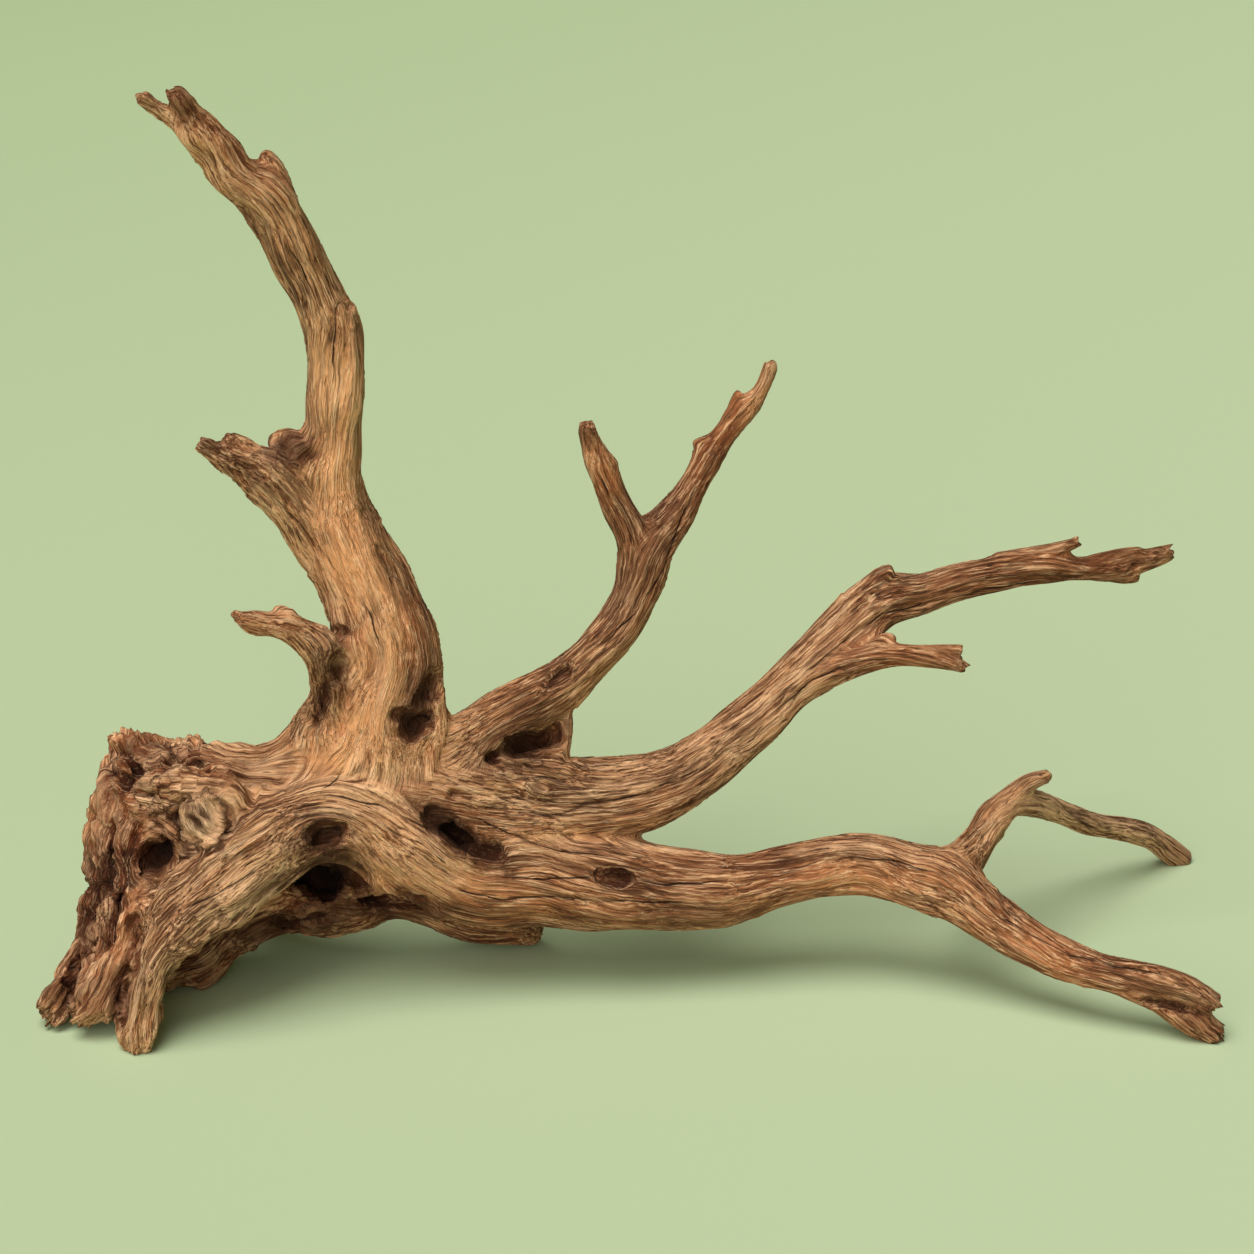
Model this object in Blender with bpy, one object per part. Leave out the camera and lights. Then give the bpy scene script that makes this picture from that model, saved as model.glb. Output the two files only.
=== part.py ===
"""Branching driftwood: one weathered piece of root crown, trunk and branches, standing on its own feet.

Sizes in the tables are millimetres. The limbs are set out as they look from the front on a
square drawing sheet, seen from a raised eye. Each station of a limb is (across, down, back,
radius): across from the sheet's left edge, down from its top edge, back from the sheet's
upright middle plane, and the limb's radius as drawn on the sheet.
"""

import bmesh
import bpy
import numpy as np

MM = 0.001

# Driving dimensions of the setting out
SHEET = 627.0
EYE_DISTANCE = 1600.0
SIGHT_SLOPE = np.radians(20.0)
SHEET_MIDDLE_UP = 200.0
ORIGIN_SHIFT = (-10.1, -41.5, -1.6)

# How finely the solid is made
RING_SIDES = 16
STATION_STEP = 6.0
FUSE_VOXEL = 2.0
FACES_WANTED = 11300

# Lengthwise flutes: how many go round a limb, and their height as a share of its radius
FLUTES = ((2, 0.045), (3, 0.05), (5, 0.05), (8, 0.03))

# Crotches are filled with a fillet, a share of the limb's radius within these limits
FILLET_SHARE = 0.24
FILLET_LIMITS = (0.9, 5.5)

# Slow waves everywhere, and lumps on the crown, which starts this far left of the middle
WAVE_SIZE = 34.0
WAVE_HEIGHT = 0.9
LUMP_SIZE = 15.0
LUMP_HEIGHT = 2.0
CROWN_STARTS = -165.0
CROWN_BLEND = 40.0

# The edge of a hollow wanders by these shares of its size, with these cell sizes. Its wall is this
# share of its size wide, or twice as much below it, and it reaches this far in front and behind.
HOLLOW_WANDER = ((6.0, 0.26, 5), (2.6, 0.16, 6))
HOLLOW_RIM = 1.12
HOLLOW_WALL = 0.42
HOLLOW_REACH = 28.0

# A fold wanders sideways by this much, and fades out over this length at each end
FOLD_WANDER = 1.2
FOLD_CELL = 9.0
FOLD_FADE = 8.0

# The limbs, each from its root, sunk in what it grows from, to its tip
LIMBS = {
    "long_arm": [
        (68, 519, -71, 9.6), (68, 510, -69, 11), (71, 497, -65, 11), (77, 479, -58, 13),
        (91, 461, -48, 17), (107, 446, -38, 20), (128, 428, -26, 21), (152, 413, -14, 20),
        (178, 412, -8, 20), (203, 424, -5, 22), (235, 438, 0, 22.5), (270, 439.5, 4, 22.5),
        (310, 443.6, 6, 22.4), (350, 446, 8, 19.6), (370, 444, 10, 17.5), (400, 436, 13, 15.5),
        (427.5, 432, 14, 16), (450, 436.4, 10, 15.6), (475, 444.2, 0, 14.8), (500, 461.4, -14, 12.9),
        (526.4, 477.8, -30, 10.6), (550, 485, -42, 8.8), (575, 489, -52, 8.2), (595, 494.5, -58, 7.5),
        (604.5, 500.5, -60, 6.8),
    ],
    "long_arm_foot": [
        (545, 488, -40, 5), (562, 494, -49, 5), (580, 501.5, -56, 5.5), (595, 510.5, -60, 7.2),
        (605.6, 516.6, -61, 7),
    ],
    "trunk": [
        (80, 398, 10, 20), (105, 402, 12, 25), (150, 402, 18, 27), (190, 400, 20, 28),
        (230, 402, 20, 26), (265, 402, 22, 21.6), (297, 400, 26, 19), (322, 397, 31, 18.6),
        (344, 387.4, 38, 16.4), (366, 370, 46, 14.6), (381, 357.6, 52, 14), (393, 345.5, 58, 12.5),
        (409, 330.5, 64, 13.5), (425, 314, 70, 13.7), (441, 301.5, 76, 12.5), (460, 297, 84, 10.3),
        (480, 290.8, 90, 9.2), (500, 286.8, 96, 8.3), (520, 284.2, 102, 7.6), (540, 284.8, 108, 7),
        (556, 284, 113, 6.4), (568, 281, 116, 5.6), (577, 278.5, 118, 5), (584, 276.4, 120, 4.4),
    ],
    "side_stub": [
        (393, 346, 56, 7), (415, 334.6, 54, 7.6), (435, 328.6, 52, 7.2), (450, 327, 50, 5.6),
        (465, 328.5, 48, 5.2), (474, 331, 46, 4.2), (481, 333.4, 45, 3.6),
    ],
    "side_stub_prong": [(463, 326, 48, 3.2), (473, 325, 49, 2.8), (479.5, 325.2, 50, 3)],
    "side_stub_knob": [(437, 323, 54, 4.5), (443, 319, 55, 3.4), (446, 318.8, 55, 2.6)],
    "spur": [(500, 281, 97, 5), (520, 276.8, 102, 3.6), (533, 273.2, 106, 3), (540, 270.2, 108, 2.8)],
    "tip_knob": [(550, 287.5, 111, 3.2), (562, 288.6, 113, 3), (567, 288.5, 114, 2.4)],
    "tip_sliver": [(548, 279.6, 110, 3), (560, 277, 113, 2.6), (570, 275.4, 115, 2)],
    "paddle_knob": [(430, 300, 72, 7), (440, 289, 74, 5), (444, 286, 75, 3.4)],
    "fork": [
        (212, 388, 20, 18), (238, 369, 24, 16), (260, 354, 32, 14), (281, 341.6, 40, 12.5),
        (295.4, 329.4, 47, 11.3), (308.4, 314.8, 53, 11.6), (319.6, 293.6, 60, 11.8), (325.2, 275, 64, 12.6),
        (338.5, 257, 70, 10.4), (348, 240.5, 74, 7.6), (355, 227.5, 77, 7.4), (364, 215, 80, 6.7),
        (372, 205, 83, 6.8), (380, 196, 85, 4.8), (383.6, 188, 87, 4.4), (385, 183.8, 88, 4),
    ],
    "fork_left_arm": [
        (321, 288, 62, 9.5), (316, 268, 60, 8.2), (308, 252, 58, 7.6), (302.2, 240, 55, 7),
        (298.4, 231, 53, 6.6), (295.4, 223, 52, 5.2), (293.4, 217, 51, 4.8), (293.4, 214.2, 50, 4.2),
    ],
    "fork_left_shoulder": [(304, 243, 55, 5), (304.8, 232.8, 54, 3.2)],
    "fork_nub": [(365, 213, 81, 4.5), (368, 201, 82, 3.2), (369, 198.5, 82, 2.6)],
    "fork_knob": [(354, 229, 77, 5.5), (350, 221.5, 76, 3.6)],
    "fork_fin": [(284, 338, 44, 7), (281.5, 352, 40, 5), (281, 366, 34, 5.5), (275, 382, 28, 9)],
    "fork_web": [(228, 394, 20, 20), (250, 381, 26, 15), (268, 371, 32, 10)],
    "upright": [
        (192, 398, 22, 27), (194, 372, 22, 28.5), (195, 350, 22, 27), (195.4, 328, 23, 24.7),
        (189.4, 308, 25, 23.6), (182, 290, 27, 22), (174.5, 275, 28, 20.2), (167.5, 258, 30, 17.6),
        (165, 240, 30, 15.2), (166, 222, 30, 14), (166, 200, 29, 14), (166.5, 180, 27, 14),
        (164.5, 162, 25, 13.6), (157.4, 145, 22, 13), (148.8, 128, 18, 12.8), (140.2, 110.4, 13, 12.6),
        (130.4, 98.2, 9, 12.4), (117, 87.4, 4, 11.6), (107, 72, -1, 9), (98, 60.6, -5, 7.8),
        (91, 51, -8, 6), (88.2, 47.4, -9, 4.6),
    ],
    "upright_prong": [
        (103, 72, -1, 7), (93, 62.5, -4, 5.8), (82, 55, -6, 5.2), (75, 50.6, -7, 3.8), (72.2, 49, -8, 3),
    ],
    "upright_knob": [(138, 97, 12, 9), (136.4, 84, 12, 5.8), (133.6, 78.6, 12, 4.6)],
    "upright_collar": [(171, 200, 22, 10), (173.5, 180, 22, 8.6), (173, 164, 22, 7.4), (173.4, 155, 22, 5)],
    "high_stub": [
        (162, 272, 28, 14), (147, 252, 22, 14), (133, 240, 16, 12), (120, 232, 12, 8.8),
        (109.4, 226.4, 8, 6.2), (102.8, 222.2, 6, 4.6),
    ],
    "high_stub_prong": [
        (135, 236, 17, 9), (124, 227, 15, 6), (116.5, 221.2, 13, 4.8), (113.8, 219.6, 12, 3.6),
    ],
    "high_stub_knob": [(154, 236, 24, 12), (147, 225, 24, 9), (141.8, 221, 24, 6.6)],
    "low_stub": [
        (178, 378, 16, 15), (167, 357, 12, 12), (165, 341, 6, 10), (161.4, 328, 0, 10),
        (152.6, 319, -4, 8.2), (142, 314, -8, 7), (131, 311.6, -11, 6.2), (122, 309.4, -13, 4.8),
        (118, 307.6, -14, 3.8),
    ],
    "low_stub_prong": [(131, 313, -10, 4), (125, 313.5, -11, 3), (122.5, 312.6, -11, 2.4)],
    "low_stub_knob": [(143, 308.5, -5, 5), (139.5, 305.5, -5, 3.4)],
    "saddle": [(118, 400.5, 18, 21.5), (134, 398.6, 18, 20.2), (150.5, 386.4, 18, 21), (166, 371, 20, 23.4)],
    "crown_body": [(112, 414, 10, 26), (92, 420, 4, 24), (78, 432, -4, 19), (70, 450, -14, 15)],
    "left_toe": [
        (67, 390, 20, 13), (62, 404, 14, 13), (59, 420, 6, 13), (56.5, 438, -2, 12), (51, 459, -12, 11),
        (42.5, 480, -28, 10), (33, 495, -40, 9.4), (26.4, 503.2, -45, 8.8),
    ],
    "middle_toe": [
        (74, 396, 12, 15), (68, 408, 3, 13), (63, 426, -8, 12), (63, 448, -22, 11),
        (60, 468, -36, 11), (53, 487, -48, 9.5), (46, 500, -54, 10), (42, 504.4, -55, 8.8),
    ],
    "inner_toe": [(76, 452, -36, 10), (67, 474, -46, 9), (60, 494, -53, 8.5), (55.5, 504.5, -56, 8.5)],
    "rim_lobe_a": [(72, 384, 22, 11), (65, 374, 22, 8), (63.2, 371, 22, 7.4)],
    "rim_lobe_b": [(84, 386, 26, 13), (74, 376, 26, 7.6), (71, 373.6, 26, 6.6)],
    "rim_lobe_c": [(98, 386, 20, 14), (94.5, 377, 20, 8), (93.6, 374.4, 20, 6.8)],
    "rim_lobe_d": [(70, 396, 14, 12), (59, 389.6, 14, 7), (57.6, 388, 14, 6)],
    "rim_lobe_e": [(62, 410, 8, 12), (51.6, 417.6, 6, 7), (47, 418, 6, 6)],
    "rim_lobe_f": [(64, 402, 10, 12), (53.5, 402, 9, 7), (51.8, 402.4, 9, 6)],
    "eye_knot": [(108, 404, 6, 16), (103, 407, -16, 12), (101, 409.5, -28, 9.6)],
    "eye_brow": [
        (78, 396, -2, 9), (90, 391, -12, 8), (104, 392, -18, 8), (116, 400, -20, 9), (117, 416, -24, 9),
    ],
    "rear_root": [
        (168, 432, 28, 20), (145, 445.4, 24, 15.4), (123, 459, 18, 13.8), (110, 471.6, 10, 11),
        (100, 480.8, 3, 10.6), (90, 484.6, -3, 10), (84, 488, -8, 8.5),
    ],
    "belly_root": [
        (158, 445.6, 26, 19.8), (176, 450, 27, 16), (194, 449, 28, 11.8), (215, 453, 34, 11),
        (238, 460.2, 40, 12.4), (256, 461.4, 44, 11.6), (263.5, 463.6, 46, 8.8),
    ],
    "belly_web": [(205, 430, 26, 20), (228, 440, 34, 19), (248, 447, 38, 16), (262, 452, 40, 12)],
    "back_root": [
        (150, 402, 28, 22), (134, 412, 46, 17), (122, 427, 62, 13.5), (113, 443, 76, 10.5),
        (108, 454, 84, 7.5),
    ],
    "rear_leg": [
        (468, 441, 0, 13), (482, 430, 14, 10.5), (491, 418.5, 30, 8.4), (498, 408.5, 46, 7.8),
        (506.5, 402.5, 60, 7.4), (520, 402.4, 78, 6.8), (534, 407.6, 96, 6.4), (548, 412.6, 116, 6),
        (565, 415.6, 134, 6.2), (575, 419, 144, 6), (582.5, 424.4, 152, 6.4), (589.6, 429.2, 157, 5.6),
    ],
    "rear_leg_stub": [
        (496, 413, 42, 7), (503, 401, 55, 6.6), (511, 393.4, 62, 5.4), (516.5, 390.2, 66, 4.4),
        (522, 388.4, 68, 3.4),
    ],
}

# Hollows: (across, down, half length, half width, turn in degrees, depth).
# A positive depth is cut from the front along the line of sight, a negative one from behind.
HOLLOWS = (
    (76.5, 430.5, 12.5, 8.5, 128, 17), (81.5, 410, 9, 6, 110, 5), (59.5, 450, 8, 3, 95, 8),
    (66.5, 465, 10, 2.6, 118, 5), (60.5, 501, 13, 4, 97, 9), (40, 484, 18, 2.6, 106, 6),
    (52, 450, 20, 2.6, 108, 6), (84.8, 396, 3.6, 3.2, 20, 6), (117.5, 410, 9, 3, 75, 5),
    (107, 396, 4.5, 2.2, 10, 3), (66, 380.5, 7, 2.4, 50, 5), (87, 380, 5, 2.2, 40, 4),
    (90, 410, 8, 2.2, 95, 4), (163.5, 417.5, 10.5, 7, -12, 13), (154.5, 439, 16, 10.5, 34, 22),
    (175, 434, 18, 12, 52, 9), (192, 450.5, 16, 3.4, 4, 8), (150, 459, 20, 3, -14, 6),
    (213.5, 347, 15, 5, 112, 6), (206.5, 362, 11.5, 9, -14, 15), (261, 373, 14, 7.4, -14, 14),
    (276, 369, 9, 6, -50, 6), (246.5, 378.5, 6, 4.6, 0, 6), (278.5, 339.5, 13, 4.4, -48, 5),
    (228.5, 418.5, 9, 6.2, 40, 16), (220.5, 411.5, 14, 7, 44, 7), (240, 424, 14, 5.5, 15, 5),
    (228, 398.5, 5, 2.8, 20, 4), (309, 439.5, 11.5, 5.6, 3, 7), (585, 503, 21, 2.6, 12, 7),
    (197.5, 285, 18, 3.6, 52, 4), (187.5, 256, 13, 3.2, 60, 3.5), (168, 334, 10, 5.4, 80, 7),
    (171, 316, 4.4, 4, 0, 5), (161, 351, 12, 3.4, 105, 6), (271, 393.5, 10, 5, 4, 1.8),
    (112, 228, 9, 2.2, 28, 4), (128, 236, 10, 3, 36, 3), (142, 224, 8, 4, 60, 4),
    (567, 283, 9, 1.8, -6, 3), (95, 56, 6, 1.8, 50, 3), (168, 398, 16, 10, 10, -11),
    (246, 400, 12, 7, 0, -9), (118, 400, 9, 12, 0, -8), (300, 440, 15, 6, 0, -6),
    (190, 318, 6, 15, 0, -6), (330, 394, 12, 5, 0, -4),
)

# Folds and ridges on the side that faces the sheet: half width, depth (below zero for a ridge),
# then points across and down
FOLDS = (
    (2.8, 7.5, (59.8, 442.5), (59, 452.4), (55.5, 463.8), (52.7, 473.8), (48.4, 480)),
    (3.0, 8, (72.6, 462.4), (66.9, 472.4), (64.1, 480.9), (59.8, 489.4), (59.1, 500.8), (59.8, 513.6)),
    (2.6, 6.5, (52.7, 429.7), (51.3, 441), (48.4, 449.6), (44.1, 458.1), (40.6, 470.9), (34.2, 490.9)),
    (2.4, 6, (57, 416.9), (55.5, 429.7), (58.4, 438.2)),
    (2.8, 7, (45.6, 470.9), (40.6, 482.3), (35.6, 493.7), (34.2, 506)),
    (2.2, 5.5, (62.6, 375.6), (66.9, 382.7), (72.6, 385.6), (78.3, 384.1)),
    (2.2, 5.5, (51.3, 381), (58.4, 388), (64.1, 392.7), (66.9, 399)),
    (2.2, 5, (78.3, 371.3), (88.3, 378.5), (95.4, 382.7), (106.8, 388.4)),
    (1.8, 5, (92, 399.5), (88.8, 404), (88.2, 412), (90.5, 421), (97, 427)),
    (1.8, 4.5, (108.5, 400), (113.4, 406), (115, 414), (113, 421), (106, 426)),
    (2.0, 3, (38, 406), (48, 409), (58, 417)),
    (2.0, 3, (36, 448), (45, 442), (51, 445)),
    (1.2, 2.6, (93, 407.5), (97, 411), (101, 415.5)),
    (1.2, 2.4, (97, 404), (101.5, 408), (105, 412)),
    (1.1, 1.8, (104, 403.5), (108.5, 407), (110, 413)),
    (2.2, 5, (176, 450), (192.3, 447.5), (206.7, 450.5), (215.3, 454.4)),
    (3.2, 5, (218, 338.7), (212, 349), (208, 357)),
    (2.4, 5, (206, 400), (214, 407), (222, 416), (232, 425), (250, 428)),
    (2.4, 4.5, (158, 345), (160, 356), (156, 366)),
    (3.0, -2.6, (71.2, 391.3), (84, 394.1), (95.4, 397), (109.6, 398.4), (115.3, 418.3), (110, 426)),
    (2.6, -3.4, (85.4, 418.3), (88.3, 428.3), (85.4, 436.8), (78.3, 442.5), (67.5, 441.5)),
    (3.0, -2.6, (65.5, 441), (62, 452.4), (61, 463.8)),
    (3.4, -2.4, (74, 452), (70, 464), (69, 478)),
    (2.6, -2.6, (143.6, 452.5), (156.5, 456.3), (170.8, 457.7), (182.3, 454), (195.2, 452)),
    (2.2, -2.2, (153, 427.5), (160, 427.5), (167, 429.5)),
    (3.2, -1.6, (150, 396), (168, 394), (188, 395.5), (202, 397)),
    (2.6, -2.4, (202, 396), (209, 402.5), (216, 410.5), (222, 420), (230, 428), (240, 433)),
    (3.0, -1.4, (168, 428), (176, 437), (190, 446), (206, 456), (222, 462)),
)


def place(stations):
    """Station rows as world points, with their radii grown or shrunk to true size.

    The sight line from the eye through the sheet point is followed to the upright plane y = back.
    """
    across, down, back, radius = np.array(stations, float).T
    right = np.array([1.0, 0.0, 0.0])
    eye = np.array([0.0, 0.0, SHEET_MIDDLE_UP]) - EYE_DISTANCE * SIGHT
    sheet = (across - SHEET / 2)[:, None] * right + (SHEET / 2 - down)[:, None] * SHEET_UP
    line = EYE_DISTANCE * SIGHT + sheet
    scale = (back - eye[1]) / line[:, 1]
    return eye + scale[:, None] * line, radius * scale


def on_sheet(points):
    """Where world points fall on the sheet: (across, down)."""
    eye = np.array([0.0, 0.0, SHEET_MIDDLE_UP]) - EYE_DISTANCE * SIGHT
    line = points - eye
    scale = EYE_DISTANCE / (line @ SIGHT)
    return line[:, 0] * scale + SHEET / 2, SHEET / 2 - (line @ SHEET_UP) * scale


def smooth_line(stations):
    """Points and radii about STATION_STEP apart on a Catmull-Rom curve through the stations."""
    points, radii = place(stations)
    rows = np.column_stack([points, radii])
    padded = np.vstack([2 * rows[0] - rows[1], rows, 2 * rows[-1] - rows[-2]])
    line = []
    for a, b, c, d in zip(padded, padded[1:], padded[2:], padded[3:]):
        steps = max(2, int(np.ceil(np.linalg.norm((c - b)[:3]) / STATION_STEP)))
        t = np.arange(steps)[:, None] / steps
        line.append(0.5 * (2 * b + (c - a) * t + (2 * a - 5 * b + 4 * c - d) * t**2
                           + (3 * b - a - 3 * c + d) * t**3))
    line = np.vstack([*line, rows[-1:]])
    return line[:, :3], np.maximum(line[:, 3], 1.5)


def unit(vectors):
    return vectors / np.maximum(np.linalg.norm(vectors, axis=-1, keepdims=True), 1e-9)


def frames_along(points):
    """The direction of a line at each point, and two directions square to it."""
    tangent = unit(np.gradient(points, axis=0))
    side = unit(np.cross(tangent, SIGHT))
    return tangent, side, np.cross(side, tangent)


def limb_rings(points, radii):
    """Vertices and faces of a limb as round rings, closed by a point at each end."""
    tangent, side, depth = frames_along(points)
    angle = np.linspace(0, 2 * np.pi, RING_SIDES, endpoint=False)
    spoke = np.cos(angle)[:, None] * side[:, None, :] + np.sin(angle)[:, None] * depth[:, None, :]
    rings = (points[:, None, :] + radii[:, None, None] * spoke).reshape(-1, 3)
    ends = [points[0] - 0.6 * radii[0] * tangent[0], points[-1] + 0.6 * radii[-1] * tangent[-1]]
    near = np.arange(RING_SIDES)
    far = (near + 1) % RING_SIDES
    faces = []
    for start in range(0, (len(points) - 1) * RING_SIDES, RING_SIDES):
        after = start + RING_SIDES
        faces += np.column_stack([start + near, start + far, after + far, after + near]).tolist()
    last = (len(points) - 1) * RING_SIDES
    faces += np.column_stack([np.full(RING_SIDES, len(rings)), far, near]).tolist()
    faces += np.column_stack([np.full(RING_SIDES, len(rings) + 1), last + near, last + far]).tolist()
    return np.vstack([rings, *ends]), faces


def limb_gap(at, points, radii):
    """For each place: how far it is outside the limb, the way out, the radius there and its run and angle.

    gap = distance to the nearest place on the limb's middle line - radius there.
    """
    tangent, side, depth = frames_along(points)
    run = np.concatenate([[0.0], np.cumsum(np.linalg.norm(np.diff(points, axis=0), axis=1))])
    start, step = points[:-1], np.diff(points, axis=0)
    length2 = (step**2).sum(axis=1)
    t = np.clip((at @ step.T - (start * step).sum(axis=1)) / length2, 0, 1)
    reach = np.zeros(t.shape)
    for axis in range(3):
        reach += (at[:, axis, None] - start[:, axis] - t * step[:, axis])**2
    gap = np.sqrt(reach) - (radii[:-1] + t * np.diff(radii))
    best = gap.argmin(axis=1)
    row = np.arange(len(at))
    t = t[row, best]
    out = at - start[best] - t[:, None] * step[best]
    angle = np.arctan2((out * depth[best]).sum(axis=1), (out * side[best]).sum(axis=1))
    radius = radii[best] + t * np.diff(radii)[best]
    return gap[row, best], unit(out), radius, run[best] + t * np.sqrt(length2[best]), angle


def waves(at, size, seed):
    """A smooth random height from -1 to 1 at each place: the mean of twelve plane waves about size long."""
    rng = np.random.RandomState(seed)
    way = unit(rng.normal(size=(12, 3))) * 2 * np.pi / (size * rng.uniform(0.75, 1.5, (12, 1)))
    return np.sin(at @ way.T + rng.uniform(0, 2 * np.pi, 12)).mean(axis=1) * 2.4


def limb_relief(index, radius, run, angle):
    """Height of a limb's lengthwise flutes: radius * sum of share * cos(lobes * angle + slow turn)."""
    rng = np.random.RandomState(100 + index)
    height = np.zeros(len(run))
    for lobes, share in FLUTES:
        turn = rng.uniform(0, 2 * np.pi) + run / rng.uniform(50, 120)
        swell = 0.65 + 0.35 * np.sin(run / rng.uniform(15, 40) + rng.uniform(0, 6))
        height += share * swell * np.cos(lobes * angle + turn)
    return radius * height


def blend(at, lines, with_relief=False):
    """How far places are outside the limbs melted together, the way out, and the flutes' height there.

    gap = -k log(sum of exp(-gap of a limb / k)), with k a share of the nearest limb's radius.
    """
    found = [limb_gap(at, *line) for line in lines]
    gaps = np.array([f[0] for f in found])
    nearest = gaps.argmin(axis=0)
    radius = np.array([f[2] for f in found])[nearest, np.arange(len(at))]
    k = np.clip(FILLET_SHARE * radius, *FILLET_LIMITS)
    weight = np.exp(-(gaps - gaps.min(axis=0)) / k)
    total = weight.sum(axis=0)
    gap = gaps.min(axis=0) - k * np.log(total)
    way = unit(sum(w[:, None] * f[1] for w, f in zip(weight / total, found)))
    height = np.zeros(len(at))
    if with_relief:
        for index, (w, f) in enumerate(zip(weight / total, found)):
            height += w * limb_relief(index, *f[2:])
    return gap, way, height


def lattice(q, seed):
    """Smooth random values from -1 to 1: random numbers at whole-number corners, blended between."""
    cell = np.floor(q).astype(np.int64)
    f = q - cell
    f = f * f * (3 - 2 * f)
    total = np.zeros(len(q))
    for corner in ((i, j, k) for i in (0, 1) for j in (0, 1) for k in (0, 1)):
        c = cell + np.array(corner)
        h = (c[:, 0] * 73856093) ^ (c[:, 1] * 19349663) ^ (c[:, 2] * 83492791) ^ (seed * 40503)
        h = (h ^ (h >> 13)) * 1274126177 & 0x7FFFFFFF
        h = h ^ (h >> 15)
        weight = np.prod(np.where(np.array(corner), f, 1 - f), axis=1)
        total += weight * ((h & 0xFFFF) / 32767.5 - 1)
    return total


def reach_of(at, across, down, half_length, half_width, turn):
    """How far each place is from the middle of an oval on the sheet: 1 on its edge."""
    cos, sin = np.cos(np.radians(turn)), np.sin(np.radians(turn))
    east, south = on_sheet(at)
    along = (east - across) * cos + (south - down) * sin
    aside = (south - down) * cos - (east - across) * sin
    return np.sqrt((along / half_length)**2 + (aside / half_width)**2)


def hollow_depth(at, way):
    """How far each place is pushed in by the hollows: along the line of sight, from its own level."""
    facing = way @ SIGHT
    wander = sum(share * lattice(at / cell, seed) for cell, share, seed in HOLLOW_WANDER)
    push = np.zeros(len(at))
    for across, down, half_length, half_width, turn, depth in HOLLOWS:
        reach = reach_of(at, across, down, half_length, half_width, turn)
        side = np.sign(depth)
        level = np.median(at[(reach < 0.8) & (facing * side < 0.1), 1])
        reach = np.sqrt(np.maximum(reach + wander, 0)**2 + ((at[:, 1] - level) / HOLLOW_REACH)**2)
        below = np.clip((on_sheet(at)[1] - down) / half_width, 0, 1)
        inside = np.clip((HOLLOW_RIM - reach) / (HOLLOW_WALL * (1 + below)), 0, 1)
        turned = np.clip(0.75 - facing * side * 1.5, 0, 1)
        push += depth * inside**2 * (3 - 2 * inside) * turned
    return push


def away_from(east, south, points):
    """Distance on the sheet from each place to a chain of points, and how near an end of it that is."""
    points = np.array(points, float)
    step = np.diff(points, axis=0)
    x, y = east[:, None] - points[:-1, 0], south[:, None] - points[:-1, 1]
    t = np.clip((x * step[:, 0] + y * step[:, 1]) / (step**2).sum(axis=1), 0, 1)
    away = np.hypot(x - t * step[:, 0], y - t * step[:, 1]).min(axis=1)
    first = np.hypot(east - points[0, 0], south - points[0, 1])
    last = np.hypot(east - points[-1, 0], south - points[-1, 1])
    return away, np.minimum(first, last)


def fold_height(at, facing):
    """The folds and ridges: the sum of -depth * exp(-(away / width)^2) on the side towards the sheet."""
    east, south = on_sheet(at)
    shift = FOLD_WANDER * lattice(at / FOLD_CELL, 57)
    height = np.zeros(len(at))
    for width, depth, *points in FOLDS:
        away, end = away_from(east, south, points)
        height -= depth * np.exp(-((away + shift) / width)**2) * np.clip(end / FOLD_FADE + 0.3, 0, 1)
    return height * np.clip(0.5 - facing * 1.8, 0, 1)


def skin_of(name, verts, faces):
    mesh = bpy.data.meshes.new(name)
    mesh.from_pydata(verts.tolist(), [], faces)
    return mesh


def bake(obj):
    """Makes what an object's modifiers give its own mesh."""
    graph = bpy.context.evaluated_depsgraph_get()
    made = bpy.data.meshes.new_from_object(obj.evaluated_get(graph))
    obj.modifiers.clear()
    old = obj.data
    obj.data = made
    bpy.data.meshes.remove(old)


def remesh(obj):
    fuse = obj.modifiers.new("fuse", "REMESH")
    fuse.mode = "VOXEL"
    fuse.voxel_size = FUSE_VOXEL * MM
    bake(obj)


def points_of(mesh):
    at = np.empty(len(mesh.vertices) * 3)
    mesh.vertices.foreach_get("co", at)
    return at.reshape(-1, 3) / MM


def cut_flat_feet(obj):
    """Cuts the solid at the ground and closes each cut with a flat face."""
    shape = bmesh.new()
    shape.from_mesh(obj.data)
    everything = [*shape.verts, *shape.edges, *shape.faces]
    bmesh.ops.bisect_plane(shape, geom=everything, dist=1e-6, plane_co=(0, 0, 0),
                           plane_no=(0, 0, -1), clear_outer=True)
    rim = [edge for edge in shape.edges if edge.is_boundary]
    bmesh.ops.holes_fill(shape, edges=rim, sides=0)
    bmesh.ops.recalc_face_normals(shape, faces=shape.faces)
    shape.to_mesh(obj.data)
    shape.free()


# Clear the scene
for obj in list(bpy.data.objects):
    bpy.data.objects.remove(obj)

# The sheet's two directions that aren't across
SIGHT = np.array([0.0, np.cos(SIGHT_SLOPE), -np.sin(SIGHT_SLOPE)])
SHEET_UP = np.array([0.0, np.sin(SIGHT_SLOPE), np.cos(SIGHT_SLOPE)])

# Limbs as rings, fused in one closed skin
lines = [smooth_line(stations) for stations in LIMBS.values()]
joined_verts, joined_faces = [], []
for line in lines:
    verts, faces = limb_rings(*line)
    first = sum(len(v) for v in joined_verts)
    joined_verts.append(verts)
    joined_faces += [[first + corner for corner in face] for face in faces]
wood = bpy.data.objects.new("driftwood", skin_of("driftwood", np.vstack(joined_verts) * MM, joined_faces))
bpy.context.scene.collection.objects.link(wood)
remesh(wood)

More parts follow.
